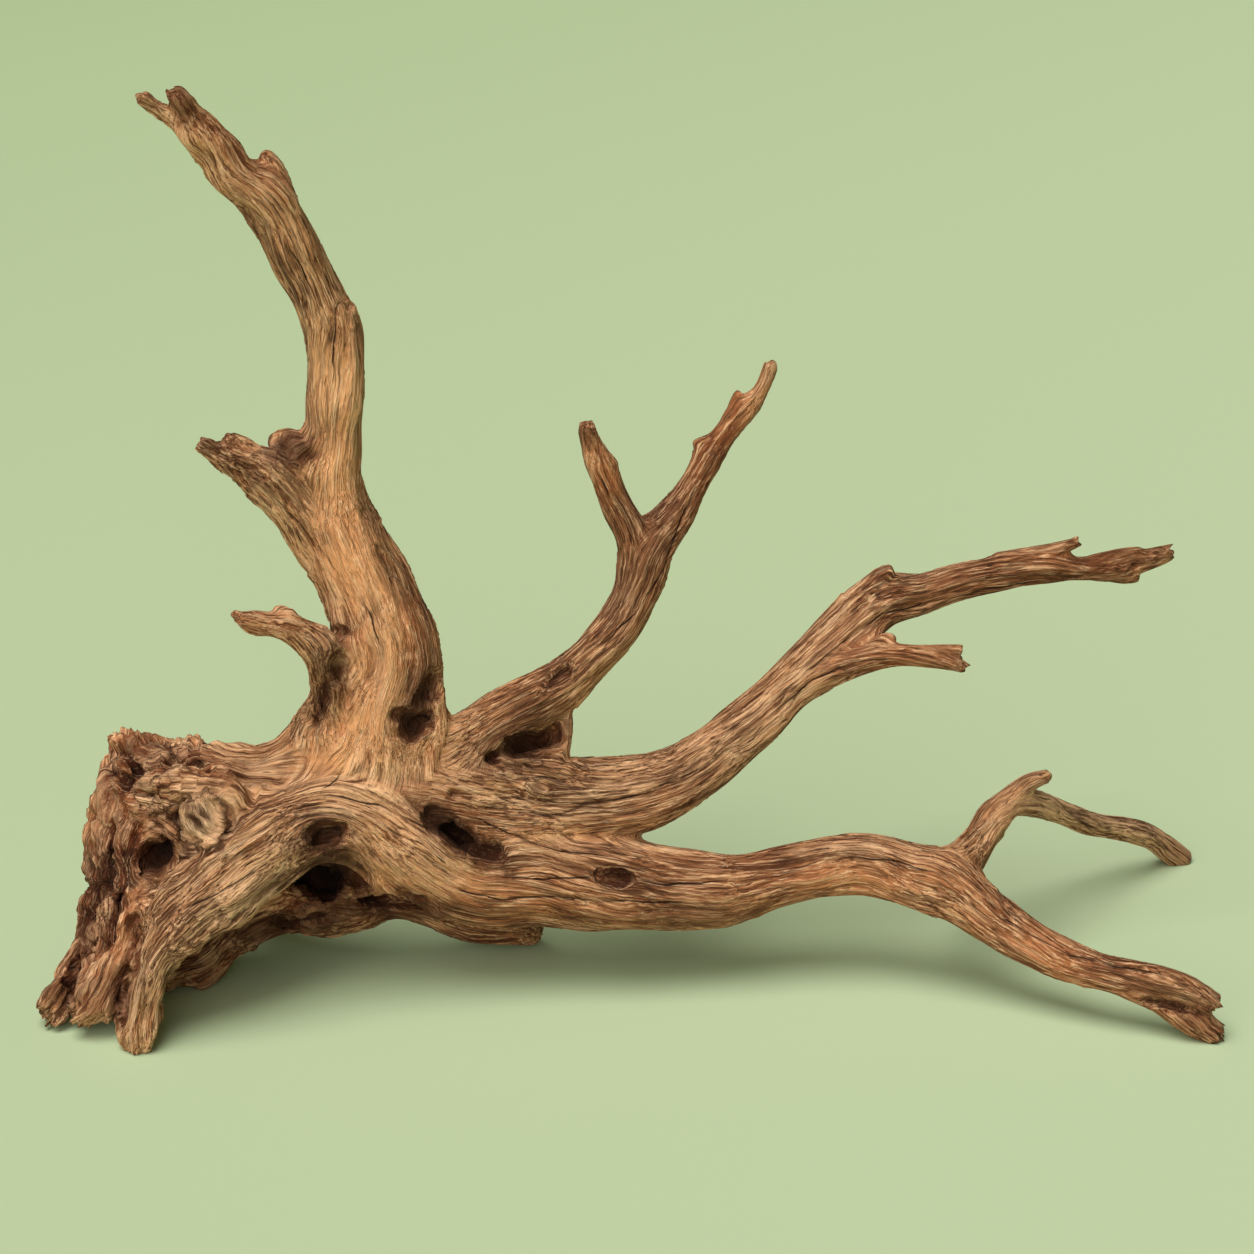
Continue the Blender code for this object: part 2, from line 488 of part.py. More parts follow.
# Crotches filled, then flutes, lumps and hollows
at = points_of(wood.data)
for _ in range(3):
    gap, way, _none = blend(at, lines)
    at = at - gap[:, None] * way
gap, way, height = blend(at, lines, True)
crown = np.clip((CROWN_STARTS - at[:, 0]) / CROWN_BLEND, 0, 1)
height += WAVE_HEIGHT * waves(at, WAVE_SIZE, 5) + crown * LUMP_HEIGHT * waves(at, LUMP_SIZE, 7)
height += fold_height(at, way @ SIGHT)
push = hollow_depth(at, way)
at = at + (height - gap)[:, None] * way + push[:, None] * SIGHT
at = at + np.array(ORIGIN_SHIFT)
wood.data.vertices.foreach_set("co", (at * MM).ravel())
wood.data.update()
remesh(wood)

# Fewer faces, then the flat feet
thin = wood.modifiers.new("thin", "DECIMATE")
wood.data.calc_loop_triangles()
thin.ratio = FACES_WANTED / len(wood.data.loop_triangles)
bake(wood)
cut_flat_feet(wood)

# Weathered wood
finish = bpy.data.materials.new("weathered_wood")
finish.use_nodes = True
shader = finish.node_tree.nodes["Principled BSDF"]
shader.inputs["Base Color"].default_value = (0.24, 0.12, 0.055, 1)
shader.inputs["Roughness"].default_value = 0.85
wood.data.materials.clear()
wood.data.materials.append(finish)
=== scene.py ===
"""Branching driftwood, dressed for its portrait: weathered grain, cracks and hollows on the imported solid."""

import bpy
import numpy as np
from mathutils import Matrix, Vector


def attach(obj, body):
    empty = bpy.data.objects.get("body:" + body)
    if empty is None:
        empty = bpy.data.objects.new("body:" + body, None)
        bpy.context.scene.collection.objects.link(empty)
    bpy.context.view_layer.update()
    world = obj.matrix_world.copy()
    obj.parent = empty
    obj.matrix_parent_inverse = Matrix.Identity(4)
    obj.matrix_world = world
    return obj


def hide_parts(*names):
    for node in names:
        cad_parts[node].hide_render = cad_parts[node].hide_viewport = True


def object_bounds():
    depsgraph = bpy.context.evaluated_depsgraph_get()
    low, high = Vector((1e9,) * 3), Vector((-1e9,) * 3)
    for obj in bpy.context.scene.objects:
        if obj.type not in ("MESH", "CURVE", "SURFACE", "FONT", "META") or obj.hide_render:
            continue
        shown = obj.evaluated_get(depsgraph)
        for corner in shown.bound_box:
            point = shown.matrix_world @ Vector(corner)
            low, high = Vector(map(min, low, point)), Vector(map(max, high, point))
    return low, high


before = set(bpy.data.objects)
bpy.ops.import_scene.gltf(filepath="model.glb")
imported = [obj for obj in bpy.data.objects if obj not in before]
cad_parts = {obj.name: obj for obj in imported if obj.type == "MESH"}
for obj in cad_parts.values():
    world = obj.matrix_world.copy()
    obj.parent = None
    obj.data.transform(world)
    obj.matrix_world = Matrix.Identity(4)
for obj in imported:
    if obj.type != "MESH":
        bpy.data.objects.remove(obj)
cad_box = [list(corner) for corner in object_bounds()]

# Driftwood
# One piece of root wood, dried and worn by water: a broken root crown on the left, an arched root
# that becomes a long low arm, a trunk with an upright limb, a forked branch and a long branch, and
# a thin rear leg. The bark is gone, so the grain stands in ridges, with cracks, pits and hollows.
MM = 0.001
FAR_AWAY = 99.0
SHEET = 627.0
EYE_DISTANCE = 1600.0
SIGHT_SLOPE = np.radians(20.0)
SHEET_MIDDLE_UP = 200.0
ORIGIN_SHIFT = np.array([-10.1, -41.5, -1.6])
SIGHT = np.array([0.0, np.cos(SIGHT_SLOPE), -np.sin(SIGHT_SLOPE)])
SHEET_UP = np.array([0.0, np.sin(SIGHT_SLOPE), np.cos(SIGHT_SLOPE)])

RING_SIDES = 16
STATION_STEP = 6.0
FIRST_VOXEL = 2.2
SKIN_VOXEL = 1.3
SKIN_TRIANGLES = 196000
FLUTES = ((2, 0.045), (3, 0.05), (5, 0.05), (8, 0.03))
FILLET_SHARE = 0.24
FILLET_LIMITS = (0.9, 5.5)
WAVE_SIZE = 34.0
WAVE_HEIGHT = 0.9
LUMP_SIZE = 15.0
LUMP_HEIGHT = 2.0
CROWN_STARTS = -165.0
CROWN_BLEND = 40.0
HOLLOW_WANDER = ((6.0, 0.26, 5), (2.6, 0.16, 6))
HOLLOW_RIM = 1.12
HOLLOW_WALL = 0.42
HOLLOW_REACH = 28.0
FOLD_WANDER = 1.2
FOLD_CELL = 9.0
FOLD_FADE = 8.0

# Each limb: its grain lane (limbs that touch have different lanes, None follows its neighbours),
# then its stations, in millimetres on the setting-out sheet: across, down, back, radius
LIMBS = {
    "long_arm": (0, [
        (68, 519, -71, 9.6), (68, 510, -69, 11), (71, 497, -65, 11), (77, 479, -58, 13),
        (91, 461, -48, 17), (107, 446, -38, 20), (128, 428, -26, 21), (152, 413, -14, 20),
        (178, 412, -8, 20), (203, 424, -5, 22), (235, 438, 0, 22.5), (270, 439.5, 4, 22.5),
        (310, 443.6, 6, 22.4), (350, 446, 8, 19.6), (370, 444, 10, 17.5), (400, 436, 13, 15.5),
        (427.5, 432, 14, 16), (450, 436.4, 10, 15.6), (475, 444.2, 0, 14.8), (500, 461.4, -14, 12.9),
        (526.4, 477.8, -30, 10.6), (550, 485, -42, 8.8), (575, 489, -52, 8.2), (595, 494.5, -58, 7.5),
        (604.5, 500.5, -60, 6.8)]),
    "long_arm_foot": (1, [
        (545, 488, -40, 5), (562, 494, -49, 5), (580, 501.5, -56, 5.5), (595, 510.5, -60, 7.2),
        (605.6, 516.6, -61, 7)]),
    "trunk": (1, [
        (80, 398, 10, 20), (105, 402, 12, 25), (150, 402, 18, 27), (190, 400, 20, 28), (230, 402, 20, 26),
        (265, 402, 22, 21.6), (297, 400, 26, 19), (322, 397, 31, 18.6), (344, 387.4, 38, 16.4),
        (366, 370, 46, 14.6), (381, 357.6, 52, 14), (393, 345.5, 58, 12.5), (409, 330.5, 64, 13.5),
        (425, 314, 70, 13.7), (441, 301.5, 76, 12.5), (460, 297, 84, 10.3), (480, 290.8, 90, 9.2),
        (500, 286.8, 96, 8.3), (520, 284.2, 102, 7.6), (540, 284.8, 108, 7), (556, 284, 113, 6.4),
        (568, 281, 116, 5.6), (577, 278.5, 118, 5), (584, 276.4, 120, 4.4)]),
    "side_stub": (0, [
        (393, 346, 56, 7), (415, 334.6, 54, 7.6), (435, 328.6, 52, 7.2), (450, 327, 50, 5.6),
        (465, 328.5, 48, 5.2), (474, 331, 46, 4.2), (481, 333.4, 45, 3.6)]),
    "side_stub_prong": (2, [(463, 326, 48, 3.2), (473, 325, 49, 2.8), (479.5, 325.2, 50, 3)]),
    "side_stub_knob": (None, [(437, 323, 54, 4.5), (443, 319, 55, 3.4), (446, 318.8, 55, 2.6)]),
    "spur": (0, [(500, 281, 97, 5), (520, 276.8, 102, 3.6), (533, 273.2, 106, 3), (540, 270.2, 108, 2.8)]),
    "tip_knob": (2, [(550, 287.5, 111, 3.2), (562, 288.6, 113, 3), (567, 288.5, 114, 2.4)]),
    "tip_sliver": (3, [(548, 279.6, 110, 3), (560, 277, 113, 2.6), (570, 275.4, 115, 2)]),
    "paddle_knob": (None, [(430, 300, 72, 7), (440, 289, 74, 5), (444, 286, 75, 3.4)]),
    "fork": (3, [
        (212, 388, 20, 18), (238, 369, 24, 16), (260, 354, 32, 14), (281, 341.6, 40, 12.5),
        (295.4, 329.4, 47, 11.3), (308.4, 314.8, 53, 11.6), (319.6, 293.6, 60, 11.8),
        (325.2, 275, 64, 12.6), (338.5, 257, 70, 10.4), (348, 240.5, 74, 7.6), (355, 227.5, 77, 7.4),
        (364, 215, 80, 6.7), (372, 205, 83, 6.8), (380, 196, 85, 4.8), (383.6, 188, 87, 4.4),
        (385, 183.8, 88, 4)]),
    "fork_left_arm": (0, [
        (321, 288, 62, 9.5), (316, 268, 60, 8.2), (308, 252, 58, 7.6), (302.2, 240, 55, 7),
        (298.4, 231, 53, 6.6), (295.4, 223, 52, 5.2), (293.4, 217, 51, 4.8), (293.4, 214.2, 50, 4.2)]),
    "fork_left_shoulder": (1, [(304, 243, 55, 5), (304.8, 232.8, 54, 3.2)]),
    "fork_nub": (None, [(365, 213, 81, 4.5), (368, 201, 82, 3.2), (369, 198.5, 82, 2.6)]),
    "fork_knob": (None, [(354, 229, 77, 5.5), (350, 221.5, 76, 3.6)]),
    "fork_fin": (None, [(284, 338, 44, 7), (281.5, 352, 40, 5), (281, 366, 34, 5.5), (275, 382, 28, 9)]),
    "fork_web": (None, [(228, 394, 20, 20), (250, 381, 26, 15), (268, 371, 32, 10)]),
    "upright": (2, [
        (192, 398, 22, 27), (194, 372, 22, 28.5), (195, 350, 22, 27), (195.4, 328, 23, 24.7),
        (189.4, 308, 25, 23.6), (182, 290, 27, 22), (174.5, 275, 28, 20.2), (167.5, 258, 30, 17.6),
        (165, 240, 30, 15.2), (166, 222, 30, 14), (166, 200, 29, 14), (166.5, 180, 27, 14),
        (164.5, 162, 25, 13.6), (157.4, 145, 22, 13), (148.8, 128, 18, 12.8), (140.2, 110.4, 13, 12.6),
        (130.4, 98.2, 9, 12.4), (117, 87.4, 4, 11.6), (107, 72, -1, 9), (98, 60.6, -5, 7.8),
        (91, 51, -8, 6), (88.2, 47.4, -9, 4.6)]),
    "upright_prong": (0, [
        (103, 72, -1, 7), (93, 62.5, -4, 5.8), (82, 55, -6, 5.2), (75, 50.6, -7, 3.8), (72.2, 49, -8, 3)]),
    "upright_knob": (0, [(138, 97, 12, 9), (136.4, 84, 12, 5.8), (133.6, 78.6, 12, 4.6)]),
    "upright_collar": (1, [
        (171, 200, 22, 10), (173.5, 180, 22, 8.6), (173, 164, 22, 7.4), (173.4, 155, 22, 5)]),
    "high_stub": (0, [
        (162, 272, 28, 14), (147, 252, 22, 14), (133, 240, 16, 12), (120, 232, 12, 8.8),
        (109.4, 226.4, 8, 6.2), (102.8, 222.2, 6, 4.6)]),
    "high_stub_prong": (1, [
        (135, 236, 17, 9), (124, 227, 15, 6), (116.5, 221.2, 13, 4.8), (113.8, 219.6, 12, 3.6)]),
    "high_stub_knob": (None, [(154, 236, 24, 12), (147, 225, 24, 9), (141.8, 221, 24, 6.6)]),
    "low_stub": (3, [
        (178, 378, 16, 15), (167, 357, 12, 12), (165, 341, 6, 10), (161.4, 328, 0, 10),
        (152.6, 319, -4, 8.2), (142, 314, -8, 7), (131, 311.6, -11, 6.2), (122, 309.4, -13, 4.8),
        (118, 307.6, -14, 3.8)]),
    "low_stub_prong": (0, [(131, 313, -10, 4), (125, 313.5, -11, 3), (122.5, 312.6, -11, 2.4)]),
    "low_stub_knob": (None, [(143, 308.5, -5, 5), (139.5, 305.5, -5, 3.4)]),
    "saddle": (None, [
        (118, 400.5, 18, 21.5), (134, 398.6, 18, 20.2), (150.5, 386.4, 18, 21), (166, 371, 20, 23.4)]),
    "crown_body": (None, [(112, 414, 10, 26), (92, 420, 4, 24), (78, 432, -4, 19), (70, 450, -14, 15)]),
    "left_toe": (2, [
        (67, 390, 20, 13), (62, 404, 14, 13), (59, 420, 6, 13), (56.5, 438, -2, 12), (51, 459, -12, 11),
        (42.5, 480, -28, 10), (33, 495, -40, 9.4), (26.4, 503.2, -45, 8.8)]),
    "middle_toe": (3, [
        (74, 396, 12, 15), (68, 408, 3, 13), (63, 426, -8, 12), (63, 448, -22, 11), (60, 468, -36, 11),
        (53, 487, -48, 9.5), (46, 500, -54, 10), (42, 504.4, -55, 8.8)]),
    "inner_toe": (1, [(76, 452, -36, 10), (67, 474, -46, 9), (60, 494, -53, 8.5), (55.5, 504.5, -56, 8.5)]),
    "rim_lobe_a": (None, [(72, 384, 22, 11), (65, 374, 22, 8), (63.2, 371, 22, 7.4)]),
    "rim_lobe_b": (None, [(84, 386, 26, 13), (74, 376, 26, 7.6), (71, 373.6, 26, 6.6)]),
    "rim_lobe_c": (None, [(98, 386, 20, 14), (94.5, 377, 20, 8), (93.6, 374.4, 20, 6.8)]),
    "rim_lobe_d": (None, [(70, 396, 14, 12), (59, 389.6, 14, 7), (57.6, 388, 14, 6)]),
    "rim_lobe_e": (None, [(62, 410, 8, 12), (51.6, 417.6, 6, 7), (47, 418, 6, 6)]),
    "rim_lobe_f": (None, [(64, 402, 10, 12), (53.5, 402, 9, 7), (51.8, 402.4, 9, 6)]),
    "eye_knot": (None, [(108, 404, 6, 16), (103, 407, -16, 12), (101, 409.5, -28, 9.6)]),
    "eye_brow": (None, [
        (78, 396, -2, 9), (90, 391, -12, 8), (104, 392, -18, 8), (116, 400, -20, 9), (117, 416, -24, 9)]),
    "rear_root": (3, [
        (168, 432, 28, 20), (145, 445.4, 24, 15.4), (123, 459, 18, 13.8), (110, 471.6, 10, 11),
        (100, 480.8, 3, 10.6), (90, 484.6, -3, 10), (84, 488, -8, 8.5)]),
    "belly_root": (2, [
        (158, 445.6, 26, 19.8), (176, 450, 27, 16), (194, 449, 28, 11.8), (215, 453, 34, 11),
        (238, 460.2, 40, 12.4), (256, 461.4, 44, 11.6), (263.5, 463.6, 46, 8.8)]),
    "belly_web": (None, [(205, 430, 26, 20), (228, 440, 34, 19), (248, 447, 38, 16), (262, 452, 40, 12)]),
    "back_root": (0, [
        (150, 402, 28, 22), (134, 412, 46, 17), (122, 427, 62, 13.5), (113, 443, 76, 10.5),
        (108, 454, 84, 7.5)]),
    "rear_leg": (1, [
        (468, 441, 0, 13), (482, 430, 14, 10.5), (491, 418.5, 30, 8.4), (498, 408.5, 46, 7.8),
        (506.5, 402.5, 60, 7.4), (520, 402.4, 78, 6.8), (534, 407.6, 96, 6.4), (548, 412.6, 116, 6),
        (565, 415.6, 134, 6.2), (575, 419, 144, 6), (582.5, 424.4, 152, 6.4), (589.6, 429.2, 157, 5.6)]),
    "rear_leg_stub": (2, [
        (496, 413, 42, 7), (503, 401, 55, 6.6), (511, 393.4, 62, 5.4), (516.5, 390.2, 66, 4.4),
        (522, 388.4, 68, 3.4)]),
}

# Hollows: across, down, half length, half width, turn in degrees, depth.
# A positive depth is cut from the front along the line of sight, a negative one from behind.
HOLLOWS = (
    (76.5, 430.5, 12.5, 8.5, 128, 17), (81.5, 410, 9, 6, 110, 5), (59.5, 450, 8, 3, 95, 8),
    (66.5, 465, 10, 2.6, 118, 5), (60.5, 501, 13, 4, 97, 9), (40, 484, 18, 2.6, 106, 6),
    (52, 450, 20, 2.6, 108, 6), (84.8, 396, 3.6, 3.2, 20, 6), (117.5, 410, 9, 3, 75, 5),
    (107, 396, 4.5, 2.2, 10, 3), (66, 380.5, 7, 2.4, 50, 5), (87, 380, 5, 2.2, 40, 4),
    (90, 410, 8, 2.2, 95, 4), (163.5, 417.5, 10.5, 7, -12, 13), (154.5, 439, 16, 10.5, 34, 22),
    (175, 434, 18, 12, 52, 9), (192, 450.5, 16, 3.4, 4, 8), (150, 459, 20, 3, -14, 6),
    (213.5, 347, 15, 5, 112, 6), (206.5, 362, 11.5, 9, -14, 15), (261, 373, 14, 7.4, -14, 14),
    (276, 369, 9, 6, -50, 6), (246.5, 378.5, 6, 4.6, 0, 6), (278.5, 339.5, 13, 4.4, -48, 5),
    (228.5, 418.5, 9, 6.2, 40, 16), (220.5, 411.5, 14, 7, 44, 7), (240, 424, 14, 5.5, 15, 5),
    (228, 398.5, 5, 2.8, 20, 4), (309, 439.5, 11.5, 5.6, 3, 7), (585, 503, 21, 2.6, 12, 7),
    (197.5, 285, 18, 3.6, 52, 4), (187.5, 256, 13, 3.2, 60, 3.5), (168, 334, 10, 5.4, 80, 7),
    (171, 316, 4.4, 4, 0, 5), (161, 351, 12, 3.4, 105, 6), (271, 393.5, 10, 5, 4, 1.8),
    (112, 228, 9, 2.2, 28, 4), (128, 236, 10, 3, 36, 3), (142, 224, 8, 4, 60, 4),
    (567, 283, 9, 1.8, -6, 3), (95, 56, 6, 1.8, 50, 3), (168, 398, 16, 10, 10, -11),
    (246, 400, 12, 7, 0, -9), (118, 400, 9, 12, 0, -8), (300, 440, 15, 6, 0, -6),
    (190, 318, 6, 15, 0, -6), (330, 394, 12, 5, 0, -4),
)

# Folds and ridges on the side that faces the sheet: half width, depth (below zero for a ridge),
# then points across and down
FOLDS = (
    (2.8, 7.5, (59.8, 442.5), (59, 452.4), (55.5, 463.8), (52.7, 473.8), (48.4, 480)),
    (3.0, 8, (72.6, 462.4), (66.9, 472.4), (64.1, 480.9), (59.8, 489.4), (59.1, 500.8), (59.8, 513.6)),
    (2.6, 6.5, (52.7, 429.7), (51.3, 441), (48.4, 449.6), (44.1, 458.1), (40.6, 470.9), (34.2, 490.9)),
    (2.4, 6, (57, 416.9), (55.5, 429.7), (58.4, 438.2)),
    (2.8, 7, (45.6, 470.9), (40.6, 482.3), (35.6, 493.7), (34.2, 506)),
    (2.2, 5.5, (62.6, 375.6), (66.9, 382.7), (72.6, 385.6), (78.3, 384.1)),
    (2.2, 5.5, (51.3, 381), (58.4, 388), (64.1, 392.7), (66.9, 399)),
    (2.2, 5, (78.3, 371.3), (88.3, 378.5), (95.4, 382.7), (106.8, 388.4)),
    (1.8, 5, (92, 399.5), (88.8, 404), (88.2, 412), (90.5, 421), (97, 427)),
    (1.8, 4.5, (108.5, 400), (113.4, 406), (115, 414), (113, 421), (106, 426)),
    (2.0, 3, (38, 406), (48, 409), (58, 417)),
    (2.0, 3, (36, 448), (45, 442), (51, 445)),
    (1.2, 2.6, (93, 407.5), (97, 411), (101, 415.5)),
    (1.2, 2.4, (97, 404), (101.5, 408), (105, 412)),
    (1.1, 1.8, (104, 403.5), (108.5, 407), (110, 413)),
    (2.2, 5, (176, 450), (192.3, 447.5), (206.7, 450.5), (215.3, 454.4)),
    (3.2, 5, (218, 338.7), (212, 349), (208, 357)),
    (2.4, 5, (206, 400), (214, 407), (222, 416), (232, 425), (250, 428)),
    (2.4, 4.5, (158, 345), (160, 356), (156, 366)),
    (3.0, -2.6, (71.2, 391.3), (84, 394.1), (95.4, 397), (109.6, 398.4), (115.3, 418.3), (110, 426)),
    (2.6, -3.4, (85.4, 418.3), (88.3, 428.3), (85.4, 436.8), (78.3, 442.5), (67.5, 441.5)),
    (3.0, -2.6, (65.5, 441), (62, 452.4), (61, 463.8)),
    (3.4, -2.4, (74, 452), (70, 464), (69, 478)),
    (2.6, -2.6, (143.6, 452.5), (156.5, 456.3), (170.8, 457.7), (182.3, 454), (195.2, 452)),
    (2.2, -2.2, (153, 427.5), (160, 427.5), (167, 429.5)),
    (3.2, -1.6, (150, 396), (168, 394), (188, 395.5), (202, 397)),
    (2.6, -2.4, (202, 396), (209, 402.5), (216, 410.5), (222, 420), (230, 428), (240, 433)),
    (3.0, -1.4, (168, 428), (176, 437), (190, 446), (206, 456), (222, 462)),
)

# The eye: a knot of pale, furrowed wood: across, down, radius, height of the rim. A groove runs round
# it, and its own grain leans by KNOT_LEAN degrees.
EYE = (101.5, 411, 11.5, 0.8)
EYE_GROOVE = 1.1
KNOT_LEAN = 48.0

# Long drying cracks: width, depth, then their points across and down
CRACKS = (
    (0.9, 2.0, (162, 397.5), (176, 399.5), (191, 403), (204, 409), (215.5, 414.5), (222, 419)),
    (0.8, 1.8, (264, 406), (273, 407.5), (281, 407), (293, 401.5), (314, 399.5), (336, 391.5), (352, 384),
     (368, 371)),
    (0.9, 2.2, (250, 438.5), (272, 439.5), (285, 438), (298, 437.5)),
    (0.9, 2.2, (319, 440), (335, 442), (350, 442), (364, 440.5)),
    (0.8, 1.8, (93, 453), (104, 449), (116, 443), (130, 433)),
    (0.8, 1.6, (372, 439), (400, 433), (428, 428.5), (450, 430.5), (470, 437)),
    (0.9, 1.8, (497, 455), (515, 467), (535, 477), (560, 483), (582, 487)),
    (0.7, 1.4, (172, 385), (166, 391), (160, 396)),
    (0.8, 1.6, (181, 300), (187, 314), (190, 327)),
    (0.8, 1.5, (143, 121), (151, 134), (156, 147)),
    (0.9, 2.0, (175.5, 151), (170, 150.5), (168, 155), (167.5, 166), (166.5, 180), (168, 196)),
    (0.8, 1.4, (122, 233), (137, 248), (153, 266), (168, 286)),
    (0.8, 1.5, (350, 240), (340, 262), (333, 284), (320, 304), (302, 321)),
    (0.7, 1.3, (299, 236), (307, 256), (315, 274)),
    (0.8, 1.5, (400, 339), (420, 322), (440, 308), (462, 302), (492, 295), (522, 291)),
    (0.8, 1.4, (388, 356), (405, 341), (428, 331), (448, 330)),
    (0.8, 1.6, (225, 444), (250, 450), (280, 449), (310, 451), (345, 452)),
    (0.8, 1.4, (236, 408), (256, 418), (280, 425), (305, 428)),
    (0.6, 1.0, (261, 391.5), (266, 389.4), (272, 388.6), (278, 389.4), (283, 391.8)),
)

